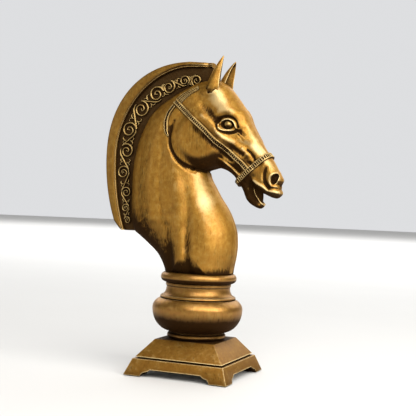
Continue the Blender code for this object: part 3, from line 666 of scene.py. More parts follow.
def ear(side, word, material):
    """A pricked leaf-shaped ear: round behind, with a trough between two rims in front."""
    axis = unit(EAR_TIP - EAR_BASE)
    front = unit(np.array(EAR_OPENING) - axis * np.dot(EAR_OPENING, axis))
    aside = np.cross(axis, front)
    rings, columns = 56, 64
    points, hollows = [], []
    for t in np.linspace(0, 1, rings):
        width = np.interp(t, EAR_STATIONS, EAR_HALF_WIDTHS)
        depth = width * (1.10 - 0.20 * t)
        bend = np.array((-3.0, 1.0, 0)) * math.sin(math.pi * t)
        middle = EAR_BASE + (EAR_TIP - EAR_BASE) * t + bend
        for turn in np.linspace(0, 2 * math.pi, columns, endpoint=False):
            s, f = math.sin(turn), math.cos(turn)
            trough = max(0.0, f) ** 0.8 * ramp(t, 0.10, 0.30) * (1 - ramp(t, 0.86, 1.0))
            rim = hump(abs(s), 0.93, 0.12) * (f > -0.3) * ramp(t, 0.12, 0.3)
            ridge = 0.08 * hump(turn, 4.25, 0.22) + 0.08 * hump(turn, 2.03, 0.22)
            strand = 0.035 * math.cos(11 * turn) * (1 - ramp(t, 0.15, 0.5))
            swell = 1 + strand + ridge * ramp(t, 0.0, 0.3)
            dip = trough * (1 - abs(s) ** 2.5)
            reach = f * swell - 1.25 * dip + 0.16 * rim
            points.append(middle + aside * width * s * (swell + 0.05 * rim) + front * depth * reach)
            # Painted shade at the root, on the back and in the trough, lighter towards the tip, and wear
            # and painted highlights on the rims and ridge.
            root = 0.7 * (1 - ramp(t + 0.06 * math.cos(9 * turn), 0.18, 0.46)) + 0.5 * ramp(-f, -0.4, 0.6)
            wear_and_highlight = 0.6 * rim + 9.0 * ridge * (1 - t) + strand * 6
            hollows.append(root - 0.35 * t + 0.25 * dip - wear_and_highlight)
    points = np.array(points) * (1, side, 1)
    points, faces = skin(points, rings, columns, False)
    obj = new_piece(f"ear_shell_{word}", points, faces, material, [f"ear_{word}"], smooth=60)
    set_hollows(obj, hollows)
    recalculated(obj)


EYE_DEPTH, EYE_RADIUS = 38.0, 10.2
EYE_LOOK = (0.30, 0.93, 0.10)
CORNEA_HEIGHT, CORNEA_ANGLE = 0.5, 0.42
IRIS_DEPTH, IRIS_ANGLE, IRIS_WIDTH = 0.35, 0.62, 0.07


def eye(side, word, material):
    """An eyeball turned about its own axis, with a shallow iris ring and a domed cornea."""
    outline = []
    for angle in np.linspace(0, math.pi, 40):
        cornea, groove = hump(angle, 0, CORNEA_ANGLE), hump(angle, IRIS_ANGLE, IRIS_WIDTH)
        radius = EYE_RADIUS + CORNEA_HEIGHT * cornea - IRIS_DEPTH * groove
        outline.append((radius * math.sin(angle), radius * math.cos(angle)))
    outline[0], outline[-1] = (0.02, outline[0][1]), (0.02, outline[-1][1])
    points, faces = turned(outline, 48)
    look = unit(EYE_LOOK)
    aside = unit(np.cross((0, 0, 1), look))
    upward = np.cross(look, aside)
    points = points[:, :1] * aside + points[:, 1:2] * upward + points[:, 2:] * look
    points = (points + (EYE[0], EYE_DEPTH, EYE[1])) * (1, side, 1)
    recalculated(new_piece(f"eyeball_{word}", points, faces, material, [f"eye_{word}"], slot="worn_gold",
                           smooth=60))


# ---- bridle


class Skin:
    """The sculpted horse, for laying straps on it."""

    def __init__(self, points, quads):
        self.tree = BVHTree.FromPolygons(points.tolist(), triangles_of(quads).tolist())

    def beside(self, route, side, lift=0.0):
        """(points, normals) where rays from the side meet the skin at each (x, z), smoothed lengthways."""
        points = []
        for x, z in route:
            hit = self.tree.ray_cast(Vector((x, side * 120, z)), Vector((0, -side, 0)))
            points.append(hit[0] if hit[0] else points[-1])
        points = np.array(points)
        normals = np.array([self.tree.find_nearest(Vector(point))[1] for point in points])
        for _ in range(6):
            normals[1:-1] = (normals[:-2] + normals[1:-1] * 2 + normals[2:]) / 4
            points[1:-1, 1] = (points[:-2, 1] + 2 * points[1:-1, 1] + points[2:, 1]) / 4
        return points + unit(normals) * lift, unit(normals)

    def round(self, centre, directions):
        """Points where rays from a centre outwards leave the skin."""
        found = []
        for direction in directions:
            found.append(self.tree.ray_cast(Vector(centre), Vector(direction))[0])
        return np.array(found)


def railed(width, thickness, rail, channel):
    """A strap's section, foot down: two raised rails with a sunken channel between them."""
    half = width / 2
    side = [(half, -4), (half, thickness - 1.0), (half - 0.5, thickness - 0.2), (half - 1.0, thickness)]
    side += [(half - rail + 0.5, thickness), (half - rail, thickness - 0.5), (half - rail - 0.3, channel)]
    return side + [(-a, o) for a, o in reversed(side)]


def line_channel(obj, stations, material):
    """Paints shade into the sunken channel of a railed strap, the first sweep in the piece, with a dark
    material of its own.
    """
    obj.data.materials.append(material)
    columns = len(railed(1, 1, 1, 1))
    middle = columns // 2 - 1
    for polygon in obj.data.polygons[: stations * columns]:
        if polygon.index % columns in (middle - 1, middle, middle + 1):
            polygon.material_index = 1
    return obj


def crossbars(path, out, width, top, pitch, long, closed=False):
    """Rounded bars laid across a strap at even steps."""
    path, out = np.asarray(path, float), unit(out)
    if closed:
        path, out = np.vstack([path, path[:1]]), np.vstack([out, out[:1]])
    steps = lengths_along(path)
    count = int(steps[-1] / pitch)
    half = long / 2
    section = [(-half, 0.2), (-half, top - 0.7), (-half * 0.5, top)]
    section += [(-a, o) for a, o in reversed(section)]

    def at_length(values, at):
        return np.array([np.interp(at, steps, values[:, k]) for k in range(3)])

    bars = []
    for i in range(count):
        at = (i + 0.5) * steps[-1] / count
        point, lift = at_length(path, at), unit(at_length(out, at))
        ahead = at_length(path, at + 1) - at_length(path, at - 1)
        across = unit(np.cross(ahead, lift))
        line = [point + across * width / 2 * k for k in (-1, 0, 1)]
        bars.append(sweep(line, [lift] * 3, section))
    return bars


CHEEK_ROUTE = [(-60, 619), (-38, 600), (-18, 584), (2, 568), (22, 551), (44, 531), (63, 515), (84, 498),
               (104, 480), (117, 467)]
HEADPIECE_ROUTE = [(-52, 619), (-40, 630), (-26, 639), (-6, 650)]
THROAT_ROUTE = [(-62, 608), (-73, 590), (-78, 570), (-76, 552), (-70, 538)]
NOSEBAND_TOP, NOSEBAND_BOTTOM = np.array((168, 0, 508)), np.array((83, 0, 432))
STRAP_STEP = 1.5
HEADPIECE_CORDS = ((-5.6, 1.5), (-1.9, 1.9), (2.2, 1.3), (5.2, 1.1))     # offset across the strap, radius


def bridle(horse_skin, material, channel_shade):
    def strap(name, shapes, node):
        return new_piece(name, *joined(shapes), material, [node], slot="worn_gold")

    def laid(route, side):
        return horse_skin.beside(even(smooth_line(route), STRAP_STEP), side)

    for side, word in SIDES:
        line, out = laid(CHEEK_ROUTE, side)
        shapes = [sweep(line, out, railed(12.5, 4.4, 3.4, 2.4))]
        shapes += crossbars(line, out, 6.6, 3.7, 5.0, 2.3)
        cheek = strap(f"cheek_strap_{word}_beaded", shapes, f"cheek_strap_{word}")
        recalculated(line_channel(cheek, len(line) - 1, channel_shade))

        line, out = laid(HEADPIECE_ROUTE, side)
        shapes = []
        fan = np.linspace(1.5, 0.85, len(line))
        across = unit(np.cross(np.gradient(line, axis=0), out))
        for offset, radius in HEADPIECE_CORDS:
            section = [(radius * math.cos(a), radius * 1.1 * math.sin(a) + 0.9)
                       for a in np.linspace(0, 2 * math.pi, 10, endpoint=False)]
            shapes.append(sweep(line + across * (-side * offset * fan)[:, None], out, section))
        base = [(6.3, -4), (6.3, 0.5), (5.5, 1.0), (-5.5, 1.0), (-6.3, 0.5), (-6.3, -4)]
        shapes.append(sweep(line, out, base, scale=np.stack([fan, np.ones_like(fan)], axis=1)))
        recalculated(strap(f"headpiece_{word}_corded", shapes, f"headpiece_{word}"))

        line, out = laid(THROAT_ROUTE, side)
        taper = np.interp(np.linspace(0, 1, len(line)), (0, 0.75, 1), (1, 1, 0.35))
        narrowing = np.stack([taper, np.ones_like(taper)], axis=1)
        shapes = [sweep(line, out, railed(10.5, 3.6, 3.0, 0.8), scale=narrowing)]
        throat = strap(f"throatlatch_{word}_corded", shapes, f"throatlatch_{word}")
        recalculated(line_channel(throat, len(line) - 1, channel_shade))

    centre = (NOSEBAND_TOP + NOSEBAND_BOTTOM) / 2
    down = unit(NOSEBAND_BOTTOM - NOSEBAND_TOP)
    turns = np.linspace(0, 2 * math.pi, 140, endpoint=False)
    directions = np.cos(turns)[:, None] * -down + np.sin(turns)[:, None] * np.array((0, 1, 0))
    loop = horse_skin.round(centre, unit(directions))
    for _ in range(4):
        loop = (np.roll(loop, 1, axis=0) + 2 * loop + np.roll(loop, -1, axis=0)) / 4
    ahead = np.roll(loop, -1, axis=0) - np.roll(loop, 1, axis=0)
    out = unit(np.cross(ahead, unit(np.cross(down, (0, 1, 0)))))
    if np.einsum("ij,ij->i", out, loop - centre).sum() < 0:
        out = -out
    shapes = [sweep(loop, out, railed(12.5, 4.6, 2.6, 2.6), closed=True)]
    shapes += crossbars(loop, out, 8.0, 4.4, 4.9, 2.3, closed=True)
    recalculated(line_channel(strap("noseband_laddered", shapes, "noseband"), len(loop), channel_shade))


# ---- crest

CREST_X, CREST_Z = -40, 495
CREST_FOOT_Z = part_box("crest_rim")[0].z / MM
CREST_FRONT_X = 16
PANEL_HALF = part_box("crest_panel")[1].y / MM


def crest_curve(half_x, rise, drop, upper_power, points):
    """From the crest's foot, round its back and over the top, to its front end."""
    low = math.asin((CREST_Z - CREST_FOOT_Z) / drop)
    curve = []
    for turn in np.linspace(low, 0, points // 2, endpoint=False):
        curve.append((CREST_X - half_x * math.cos(turn), CREST_Z - drop * math.sin(turn)))
    for turn in np.linspace(0, math.pi / 2, points):
        x = half_x * max(math.cos(turn), 0) ** (2 / upper_power)
        curve.append((CREST_X - x, CREST_Z + rise * math.sin(turn) ** (2 / upper_power)))
    return curve


def crest_rim(material):
    """A flat band with eased edges, and a thin bead along the edge next to the scrollwork."""
    outer = crest_curve(208.5, 220, 310, 2.2, 90)
    foot_x = outer[0][0]
    corner = [(foot_x + 18, CREST_FOOT_Z), (foot_x + 9, CREST_FOOT_Z + 1.5), (foot_x + 3, CREST_FOOT_Z + 7)]
    outer = even(smooth_line(corner + outer[6:] + [(CREST_FRONT_X, 711)], 3), 3.2)
    inner = np.array(crest_curve(181, 206, 322, 1.9, 90) + [(CREST_FRONT_X, 700)])
    inner = even(inner, 3.2)
    stations = len(outer)
    shares, known = np.linspace(0, 1, stations), np.linspace(0, 1, len(inner))
    inner = np.stack([np.interp(shares, known, inner[:, k]) for k in (0, 1)], axis=1)
    points = []
    for (ox, oz), (ix, iz) in zip(outer, inner):
        width = math.hypot(ox - ix, oz - iz)
        side = [
            (0, 5), (0.2, 10.0), (0.9, 12.2), (2.0, 13.0), (3.1, 12.6), (3.9, 11.2), (4.6, 10.7),
            (5.6, 11.0), (7.0, 11.8), (width * 0.5, 12.2), (width - 4.5, 12.0), (width - 2.4, 11.4),
            (width - 0.9, 10.0), (width - 0.2, 8.0), (width, 5),
        ]
        ring = side + [(d, -y) for d, y in reversed(side)]
        for d, y in ring:
            points.append((ix + (ox - ix) * d / width, y, iz + (oz - iz) * d / width))
    points = np.array(points)
    # The band narrows where it runs in between the ears.
    notch = np.exp(-(((points[:, 0] - 4) / 5.0) ** 2)) * (points[:, 2] > 640)
    points[:, 1] *= 1 - 0.45 * notch
    shape = skin(points, stations, len(points) // stations, False)
    recalculated(new_piece("crest_rim_beaded", *shape, material, ["crest_rim"], smooth=35))


VOLUTES = [     # x, z and radius of each, from the top of the crest to its foot
    (-22.5, 670.5, 14), (-53, 670.5, 12.5), (-92, 656, 16), (-122.5, 640, 18.5), (-161, 605, 19.5),
    (-190, 556, 18.5), (-194.5, 506, 17.5), (-201, 455, 15.5), (-191, 408, 12.5), (-191, 371, 9.5),
    (-185, 342, 8.5),
]


def spiral(centre, radius, start, turning, turns, inner):
    """Points spiralling in from a start angle round a centre."""
    count = int(26 * turns)
    points = []
    for i in range(count + 1):
        t = i / count
        r = inner + (radius - inner) * (1 - t) ** 0.85
        a = start + turning * 2 * math.pi * turns * t
        points.append((centre[0] + r * math.cos(a), centre[1] + r * math.sin(a)))
    return points


def running_scroll():
    """Each volute's line: it leaves the one before in a tangent S and winds in to its own eye."""
    lines = []
    for i, (x, z, radius) in enumerate(VOLUTES):
        turning = 1 if i % 2 else -1
        if i == 0:
            start = math.radians(-60)
            lines.append(spiral((x, z), radius, start, turning, 1.6, 0.2 * radius))
            continue
        px, pz, before = VOLUTES[i - 1]
        gap = math.hypot(px - x, pz - z)
        towards = math.atan2(pz - z, px - x)
        lean = math.acos(min(1.0, (radius + before) / max(gap, radius + before + 0.01)))
        start = towards - turning * lean
        leave = towards + math.pi - turning * lean
        stem = []
        for back in np.linspace(0.9, 0, 8):
            angle = leave - turning * back
            swell = before * (1 - 0.10 * back)
            stem.append((px + swell * math.cos(angle), pz + swell * math.sin(angle)))
        lines.append(stem + spiral((x, z), radius, start, turning, 1.45, 0.2 * radius))
    return lines


def vine(line, y, side, half, height, ends=(0.5, 0.7)):
    """A rounded ridge along a line of (x, z) on the crest's ground, tapering to both ends."""
    line = even(smooth_line(line, 1.2), 1.2)
    path = np.stack([line[:, 0], np.full(len(line), y), line[:, 1]], axis=1)
    out = np.tile((0, side, 0), (len(line), 1))
    taper = np.interp(np.linspace(0, 1, len(line)), (0, 0.10, 0.55, 1), (ends[0], 1.0, 0.95, ends[1]))
    section = [(half * math.cos(a), height * math.sin(a) ** 0.8) for a in np.linspace(0.0, math.pi, 11)]
    section = [(half * 1.02, -1.2)] + section + [(-half * 1.02, -1.2)]
    return sweep(path, out, section, scale=np.stack([taper, taper * 0.5 + 0.5], axis=1))


def bud(x, z, y, side, radius, height):
    """A small domed boss."""
    rings, columns = 5, 14
    points = []
    for i in range(rings + 1):
        a = math.pi / 2 * i / rings
        for turn in np.linspace(0, 2 * math.pi, columns, endpoint=False):
            r = max(radius * math.cos(a), 0.05)
            out = y + side * (height * math.sin(a) - 1)
            points.append((x + r * math.cos(turn), out, z + r * math.sin(turn)))
    return skin(np.array(points), rings + 1, columns, False)


def tendril(root, heading, bend, long):
    """Points of a short stalk that leaves its root along a heading and curls over."""
    x, z = root
    points = [(x, z)]
    for t in np.linspace(0, 1, 10):
        heading += bend * (0.08 + 0.55 * t)
        x += long / 10 * math.cos(heading)
        z += long / 10 * math.sin(heading)
        points.append((x, z))
    return points


def scrollwork(side, word, material):
    """The running scroll on one face of the crest's ground, with two pairs of tendrils between volutes."""
    ground = side * PANEL_HALF
    shapes = []
    for (x, z, radius), line in zip(VOLUTES, running_scroll()):
        shapes.append(vine(line, ground, side, 1.5 + 0.065 * radius, 5.0))
        shapes.append(bud(x, z, ground, side, 1.2 + 0.085 * radius, 4.8))
    for (ax, az, ar), (bx, bz, br) in zip(VOLUTES, VOLUTES[1:]):
        along = math.atan2(bz - az, bx - ax)
        size = (ar + br) / 2
        share = ar / (ar + br)
        middle = (ax + (bx - ax) * share, az + (bz - az) * share)
        for way in (-1, 1):
            aside = along + way * math.pi / 2
            root = (middle[0] + 0.30 * size * math.cos(aside), middle[1] + 0.30 * size * math.sin(aside))
            for bend, long, half, height in ((0.9, 1.0, 1.9, 3.6), (-0.9, 0.9, 1.7, 3.2)):
                line = tendril(root, aside, bend * way, long * size)
                shapes.append(vine(line, ground, side, half, height, (0.9, 0.15)))
    obj = new_piece(f"scrollwork_{word}_volutes", *joined(shapes), material, [f"scrollwork_{word}"],
                    slot="worn_gold", smooth=50)
    recalculated(obj)


# ---- stem and plinth

BULB_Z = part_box("bulb")[0].z / MM
COVE_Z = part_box("cove_collar")[0].z / MM
NECK_RING_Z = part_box("neck_ring")[0].z / MM
FOOT_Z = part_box("stem_foot_ring")[0].z / MM
BORE = 40
STEM_GAP = 0.3          # left above each ring, so that no two surfaces share a plane


def stem(material):
    def ring_piece(name, profile, node):
        recalculated(new_piece(name, *turned(profile), material, [node], smooth=30))

    top = BULB_Z - STEM_GAP
    foot = [(61.5, top), (62.0, top - 1.2), (62.2, 94.2), (63.2, 93.4)]
    foot += arc((61.3, 87.3), (6, 6.0), 62, -50, 14)
    foot += [(63.6, 82.0), (62.0, 81.2), (61.6, FOOT_Z), (BORE, FOOT_Z), (BORE, top)]
    ring_piece("foot_ring_turned", foot, "stem_foot_ring")

    top = COVE_Z - STEM_GAP
    belly = 148.6
    bulb = [(BORE, top), (84.5, top), (86.4, top - 0.8)] + arc((70, belly), (33.4, 26), 59, 0, 22)
    bulb += arc((62.5, belly), (40.9, 51.3), -4, -86, 34) + [(BORE, BULB_Z)]
    ring_piece("bulb_turned", bulb, "bulb")

    top = NECK_RING_Z - STEM_GAP
    cove = [(BORE, top), (73.6, top), (74.6, top - 0.9), (75.0, 203.6), (74.6, 200.6), (73.2, 199.2)]
    cove += [(72.9, 198)]
    cove += arc((86, 197), (13, 19.5), 184, 258, 20) + [(83.9, 178.0), (84.2, 177.4)]
    cove += arc((84.0, 174.3), (2.7, 2.9), 80, -72, 8) + [(84.4, COVE_Z), (BORE, COVE_Z)]
    ring_piece("cove_turned", cove, "cove_collar")

    top = HORSE_Z - STEM_GAP
    middle, half = (NECK_RING_Z + top) / 2, (top - NECK_RING_Z) / 2
    ring = [(BORE, top), (74.0, top)] + arc((75.2, middle), (11.8, half - 0.2), 84, -84, 26)
    ring += [(74.0, NECK_RING_Z), (BORE, NECK_RING_Z)]
    ring_piece("neck_ring_turned", ring, "neck_ring")


FLAT_ANGLE, SHARP_ANGLE = math.radians(1.5), math.radians(22)


def eased(node, name, material, width):
    """A finer stand-in for a CAD node: the same faces with every sharp edge rounded over."""
    bm = bmesh.new()
    bm.from_mesh(frame["nodes"][node].data)
    bmesh.ops.remove_doubles(bm, verts=bm.verts, dist=1e-6)
    bmesh.ops.dissolve_limit(bm, angle_limit=FLAT_ANGLE, verts=bm.verts, edges=bm.edges)
    sharp = [edge for edge in bm.edges if edge.is_manifold and edge.calc_face_angle(0) > SHARP_ANGLE]
    bmesh.ops.bevel(bm, geom=sharp, offset=width * MM, segments=3, profile=0.55, affect="EDGES",
                    clamp_overlap=True)
    mesh = bpy.data.meshes.new(name)
    bm.to_mesh(mesh)
    bm.free()
    finished(linked(name, mesh), material, [node], smooth=30)


# ---- materials


class Look:
    """A node material, with short ways to add nodes to it."""

    def __init__(self, name):
        self.material = bpy.data.materials.new(name)
        self.material.use_nodes = True
        self.tree = self.material.node_tree
        self.shader = self.tree.nodes["Principled BSDF"]
        self.place = self.add("TexCoord").outputs["Object"]

    def add(self, kind, **settings):
        node = self.tree.nodes.new(kind if kind.startswith("Shader") else f"ShaderNode{kind}")
        for key, value in settings.items():
            setattr(node, key, value)
        return node

    def feed(self, socket, value):
        if isinstance(value, bpy.types.NodeSocket):
            self.tree.links.new(value, socket)
        else:
            socket.default_value = (*value, 1) if isinstance(value, tuple) else value

    def set(self, **values):
        """Feeds the shader's own sockets, named with underscores for spaces."""
        for key, value in values.items():
            self.feed(self.shader.inputs[key.replace("_", " ")], value)

    def math(self, operation, a, b=0.0, clamp=False):
        node = self.add("Math", operation=operation, use_clamp=clamp)
        self.feed(node.inputs[0], a)
        self.feed(node.inputs[1], b)
        return node.outputs[0]

    def plus(self, total, value, amount):
        return self.math("ADD", total, self.math("MULTIPLY", value, amount))

    def minus(self, total, value, amount, clamp=False):
        return self.math("SUBTRACT", total, self.math("MULTIPLY", value, amount), clamp)

    def span(self, value, low, high, to_low=0.0, to_high=1.0):
        node = self.add("MapRange", interpolation_type="SMOOTHSTEP")
        for socket, given in zip(node.inputs, (value, low, high, to_low, to_high)):
            self.feed(socket, given)
        return node.outputs[0]

    def noise(self, scale, detail=3.0, stretch=(1, 1, 1), rough=0.55):
        mapping = self.add("Mapping")
        self.feed(mapping.inputs["Vector"], self.place)
        mapping.inputs["Scale"].default_value = stretch
        node = self.add("TexNoise")
        self.feed(node.inputs["Vector"], mapping.outputs[0])
        for key, value in (("Scale", scale), ("Detail", detail), ("Roughness", rough)):
            node.inputs[key].default_value = value
        return node.outputs["Fac"]

    def blend(self, share, a, b):
        node = self.add("Mix", data_type="RGBA")
        self.feed(node.inputs[0], share)
        self.feed(node.inputs[6], a)
        self.feed(node.inputs[7], b)
        return node.outputs[2]

    def bump(self, height, distance, strength, under=None):
        node = self.add("Bump")
        node.inputs["Distance"].default_value = distance
        node.inputs["Strength"].default_value = strength
        self.feed(node.inputs["Height"], height)
        if under is not None:
            self.feed(node.inputs["Normal"], under)
        return node.outputs[0]


# The dark brown of the patina, also used for painted shade, and the pale of wear, also used for painted
# highlights.
PATINA_AND_SHADE_COLOUR, WEAR_AND_HIGHLIGHT_COLOUR = (0.020, 0.008, 0.0025), (0.85, 0.64, 0.30)
SUNKEN_TINT = (0.72, 0.62, 0.50)


def antique_gold(name, gold=(0.48, 0.255, 0.040), patina_and_shade_amount=1.0, wear_and_highlight_amount=1.0, sculpted=False, streaks=1.0,
                 rough=0.47, coat=0.3, metal=0.88, edge=0.0022, reach=0.026, under=0.88):
    """Antique gold lacquer on cast metal: brown patina and painted shade in the hollows, near walls and on
    what faces down, rubbed pale with painted highlights on the ridges and edges.

    Its three amounts scale the patina and painted shade, the wear and painted highlights, and the streaks.
    edge is how wide a worn, highlighted edge is, and reach how near a wall has to be to paint shade and
    patina, in metres. under paints shade onto what faces down. A sculpted piece stores its hollows, with
    painted shade and painted highlights among them.
    """
    look = Look(name)
    blotch = look.noise(16, 3)
    mottle = look.noise(95, 5, rough=0.62)
    grain = look.noise(900, 3, rough=0.7)
    brushed = look.noise(60, 4, stretch=(5.5, 5.5, 0.55), rough=0.6)
    uneven = look.math("SUBTRACT", mottle, 0.5)
    geometry = look.add("NewGeometry")
    occlusion = look.add("AmbientOcclusion", samples=6)
    occlusion.inputs["Distance"].default_value = reach
    shade = look.math("SUBTRACT", 1.0, occlusion.outputs["AO"])
    facing = look.add("SeparateXYZ")
    look.feed(facing.inputs[0], geometry.outputs["Normal"])

    # Patina and painted shade near walls, and painted shade on what faces down.
    patina_and_shade = look.math("MULTIPLY", look.span(shade, 0.10, 0.72), 0.95 * patina_and_shade_amount)
    patina_and_shade = look.plus(patina_and_shade, look.span(facing.outputs[2], 0.05, -0.60), under * patina_and_shade_amount)
    if sculpted:
        hollow = look.add("Attribute", attribute_name="hollow").outputs["Fac"]
        point = geometry.outputs["Pointiness"]
        # Patina and painted shade in creases and in the stored hollows, which hold painted highlights below
        # zero.
        patina_and_shade = look.plus(patina_and_shade, look.span(point, 0.495, 0.445), 0.55 * patina_and_shade_amount)
        runs = look.math("SUBTRACT", look.noise(150, 5, stretch=(2.6, 2.6, 0.45), rough=0.7), 0.5)
        ragged = look.math("MULTIPLY", runs, look.span(hollow, 0.0, 0.6, 0.0, 3.0))
        patina_and_shade = look.plus(patina_and_shade, look.span(look.math("ADD", hollow, ragged), 0.05, 2.0), 1.05 * patina_and_shade_amount)
        # Wear and painted highlights on ridges, and where the stored hollows run below zero.
        wear_and_highlight = look.math("ADD", look.span(point, 0.515, 0.57), look.span(hollow, -0.25, -1.7))
    else:
        # Wear and painted highlights on edges, less where walls are near.
        rounded = look.add("Bevel", samples=6)
        rounded.inputs["Radius"].default_value = edge
        turn = look.add("VectorMath", operation="DOT_PRODUCT")
        look.feed(turn.inputs[0], rounded.outputs[0])
        look.feed(turn.inputs[1], geometry.outputs["Normal"])
        edges = look.span(turn.outputs["Value"], 0.992, 0.90)
        wear_and_highlight = look.math("MULTIPLY", edges, look.span(shade, 0.45, 0.12))
    patina_and_shade = look.plus(patina_and_shade, look.span(brushed, 0.52, 0.78), 0.30 * streaks)
    patina_and_shade = look.plus(patina_and_shade, look.math("SUBTRACT", blotch, 0.5), 0.35)
    patina_and_shade = look.plus(patina_and_shade, uneven, 0.40)
    patina_and_shade = look.math("MULTIPLY", patina_and_shade, 1.15, clamp=True)
    bare = look.math("SUBTRACT", 1.0, patina_and_shade)
    cover = look.math("SUBTRACT", 1.0, look.math("POWER", bare, 1.4))
    wear_and_highlight = look.plus(wear_and_highlight, look.math("SUBTRACT", mottle, 0.55), 0.7)
    wear_and_highlight = look.math("MULTIPLY", wear_and_highlight, 0.85 * wear_and_highlight_amount, clamp=True)

    deep = tuple(c * f for c, f in zip(gold, SUNKEN_TINT))
    colour = look.blend(look.span(mottle, 0.3, 0.7), deep, gold)
    colour = look.blend(wear_and_highlight, colour, WEAR_AND_HIGHLIGHT_COLOUR)
    colour = look.blend(look.math("MULTIPLY", cover, 0.985), colour, PATINA_AND_SHADE_COLOUR)
    metallic = look.minus(look.minus(metal, patina_and_shade, 0.45), wear_and_highlight, 0.50, clamp=True)
    roughness = look.plus(look.plus(rough, uneven, 0.16), patina_and_shade, 0.25)
    normal = look.bump(grain, 0.00022, 0.6)
    normal = look.bump(mottle, 0.0007, 0.55, normal)
    normal = look.bump(brushed, 0.0006, 0.5 * streaks, normal)
    look.set(Base_Color=colour, Metallic=metallic, Roughness=roughness, Normal=normal,
             Coat_Weight=look.math("MULTIPLY", bare, coat), Coat_Roughness=0.34,
             Specular_IOR_Level=0.10, Specular_Tint=(0.80, 0.58, 0.28))
    return look.material


def plated_steel(name):
    look = Look(name)
    mottle = look.noise(140, 4)
    brushed = look.noise(300, 3, stretch=(1, 12, 1))
    colour = look.blend(look.span(mottle, 0.35, 0.7), (0.33, 0.33, 0.32), (0.55, 0.54, 0.51))
    look.set(Base_Color=colour, Metallic=1.0, Roughness=look.span(mottle, 0.2, 0.8, 0.28, 0.5),
             Normal=look.bump(brushed, 0.0002, 0.5))
    return look.material


def black_rubber(name):
    look = Look(name)
    speck = look.noise(700, 3)
    colour = look.blend(speck, (0.012, 0.012, 0.012), (0.035, 0.034, 0.033))
    look.set(Base_Color=colour, Roughness=look.span(speck, 0.3, 0.7, 0.65, 0.9),
             Normal=look.bump(speck, 0.0003, 0.7))
    return look.material


def pale_floor(name):
    look = Look(name)
    haze = look.noise(1.5, 2)
    look.set(Base_Color=look.blend(haze, (0.66, 0.655, 0.64), (0.70, 0.695, 0.68)),
             Roughness=0.75, Specular_IOR_Level=0.2)
    return look.material


# ---- studio

CAMERA_TURN, CAMERA_REACH, CAMERA_HEIGHT = math.radians(22.05), 2.0, 0.3673
CAMERA_YAW, CAMERA_PITCH, CAMERA_ROLL = math.radians(-0.41), math.radians(0.334), math.radians(2.467)
CAMERA_LENS = 75.3
AMBIENT, BACKDROP = 0.18, 0.75


def camera():
    data = bpy.data.cameras.new("camera")
    data.lens, data.sensor_width = CAMERA_LENS, 36
    obj = linked("camera", data)
    heading, level = CAMERA_TURN + CAMERA_YAW, math.cos(CAMERA_PITCH)
    forward = Vector((-math.sin(heading) * level, math.cos(heading) * level, math.sin(CAMERA_PITCH)))
    right = forward.cross(Vector((0, 0, 1))).normalized()
    up = right.cross(forward)
    c, s = math.cos(CAMERA_ROLL), math.sin(CAMERA_ROLL)
    right, up = right * c + up * s, up * c - right * s
    turn = Matrix((right, up, -forward)).transposed().to_4x4()
    x = CAMERA_REACH * math.sin(CAMERA_TURN) + AXIS_X * MM
    place = Vector((x, -CAMERA_REACH * math.cos(CAMERA_TURN), CAMERA_HEIGHT))
    obj.matrix_world = Matrix.Translation(place) @ turn
    bpy.context.scene.camera = obj


MIDDLE = (0.03, 0, 0.40)
SOFTBOXES = [      # name, place, target, size, power, colour
    ("key", (2.10, -0.85, 1.55), MIDDLE, (1.9, 1.9), 65, (1.0, 0.97, 0.92)),
    ("front", (0.75, -2.05, 1.85), MIDDLE, (1.5, 1.5), 36, (1.0, 0.97, 0.93)),
    ("fill", (-1.9, -1.7, 0.9), MIDDLE, (1.2, 1.2), 4, (1.0, 0.98, 0.95)),
    ("far_floor", (-2.2, 8.8, 4.5), (-2.2, 8.8, 0), (17, 12), 1150, (1, 1, 1)),
]
SUN_DIRECTION, SUN_STRENGTH, SUN_ANGLE = (-0.25, 0.30, -1.0), 1.0, math.radians(50)


def aim(obj, direction):
    obj.rotation_euler = Vector(direction).to_track_quat("-Z", "Y").to_euler()


def lights():
    for name, place, target, size, power, colour in SOFTBOXES:
        data = bpy.data.lights.new(name, "AREA")
        data.shape = "RECTANGLE"
        data.size, data.size_y = size
        data.energy, data.color = power, colour
        softbox = linked(name, data)
        softbox.location = place
        aim(softbox, Vector(target) - Vector(place))
    data = bpy.data.lights.new("overhead", "SUN")
    data.energy, data.angle = SUN_STRENGTH, SUN_ANGLE
    aim(linked("overhead", data), SUN_DIRECTION)


def studio():
    """A pale floor in a dim world that is bright on one side, behind the piece as the photo sees it."""
    world = bpy.data.worlds.new("studio")
    world.use_nodes = True
    nodes, links = world.node_tree.nodes, world.node_tree.links
    direction = nodes.new("ShaderNodeTexCoord").outputs["Generated"]
    towards = nodes.new("ShaderNodeVectorMath")
    towards.operation = "DOT_PRODUCT"
    links.new(direction, towards.inputs[0])
    towards.inputs[1].default_value = (-math.sin(CAMERA_TURN), math.cos(CAMERA_TURN), 0)
    glow = nodes.new("ShaderNodeMapRange")
    glow.interpolation_type = "SMOOTHSTEP"
    links.new(towards.outputs["Value"], glow.inputs["Value"])
    for socket, value in zip(("From Min", "From Max", "To Min", "To Max"), (0.55, 0.92, AMBIENT, BACKDROP)):
        glow.inputs[socket].default_value = value
    links.new(glow.outputs["Result"], nodes["Background"].inputs["Strength"])
    nodes["Background"].inputs["Color"].default_value = (0.97, 0.98, 1.0, 1)
    bpy.context.scene.world = world
    bpy.context.scene.view_settings.view_transform = "Standard"

    bm = bmesh.new()
    bmesh.ops.create_circle(bm, cap_ends=True, segments=96, radius=30)
    mesh = bpy.data.meshes.new("floor")
    bm.to_mesh(mesh)
    bm.free()
    floor = linked("floor", mesh)
    mesh.materials.append(pale_floor("pale_floor"))


# ---- the piece

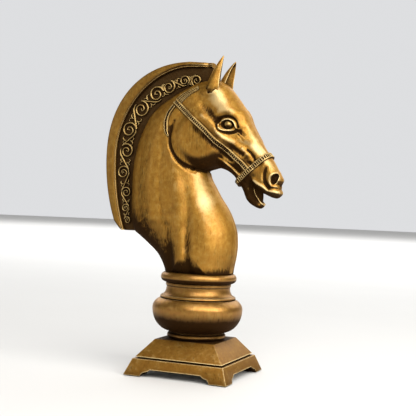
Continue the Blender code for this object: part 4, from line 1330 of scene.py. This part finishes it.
studio()
lights()
camera()

cast = antique_gold("cast_gold", gold=(0.37, 0.20, 0.033), patina_and_shade_amount=1.15, wear_and_highlight_amount=0.8)
skin_gold = antique_gold("horse_gold", sculpted=True, rough=0.50, coat=0.25)
trim_gold = antique_gold("trim_gold", gold=(0.58, 0.39, 0.13), patina_and_shade_amount=1.3, streaks=0.4, rough=0.42)
scroll_gold = antique_gold("scroll_gold", gold=(0.60, 0.42, 0.15), patina_and_shade_amount=1.2, wear_and_highlight_amount=0.8, streaks=0.4,
                           rough=0.45)
# The plinth and bulb paint stronger shade near walls and underneath, and the plinth stronger highlights on
# its edges.
plinth_gold = antique_gold("plinth_gold", gold=(0.31, 0.155, 0.022), patina_and_shade_amount=1.35, wear_and_highlight_amount=1.6, streaks=1.6,
                           rough=0.45, metal=0.7, edge=0.0034, reach=0.05)
bulb_gold = antique_gold("bulb_gold", gold=(0.40, 0.200, 0.028), patina_and_shade_amount=1.55, rough=0.36, coat=0.65,
                         reach=0.056, under=0.78)
# The crest's dark ground, also used for the painted shade in the straps' channels.
ground_and_channel_shade = antique_gold("crest_ground_and_channel_shade", gold=(0.085, 0.048, 0.018), patina_and_shade_amount=1.3, wear_and_highlight_amount=0.1, streaks=0.5,
                           rough=0.55, coat=0.0)
steel, rubber = plated_steel("plated_steel"), black_rubber("black_rubber")

body_points, body_quads, body_hollows = sculpt_horse(HORSE_CELL)
body_quads = outward(body_points, body_quads)
body_points = relaxed(body_points, body_quads, RELAX_ROUNDS, RELAX_BACK)
for half_side, half_word in SIDES:
    horse_half(f"horse_{half_word}", body_points, body_quads, body_hollows, half_side, skin_gold,
               f"neck_shell_{half_word}")
    ear(half_side, half_word, skin_gold)
    eye(half_side, half_word, trim_gold)
    scrollwork(half_side, half_word, scroll_gold)
bridle(Skin(body_points, body_quads), trim_gold, ground_and_channel_shade)
crest_rim(cast)
stem(bulb_gold)
eased("plinth_skirt", "skirt_cast", plinth_gold, 0.9)
eased("plinth_cap", "cap_cast", plinth_gold, 1.0)

LOOKS = {"antique_gold": cast, "worn_gold": trim_gold, "dark_patina": ground_and_channel_shade,
         "steel_fittings": steel, "rubber_pads": rubber, "rubber_seal": rubber}
for part in frame["record"]["subparts"]:
    for material_slot in frame["nodes"][part["node"]].material_slots:
        material_slot.material = LOOKS[part["material_slot"]]
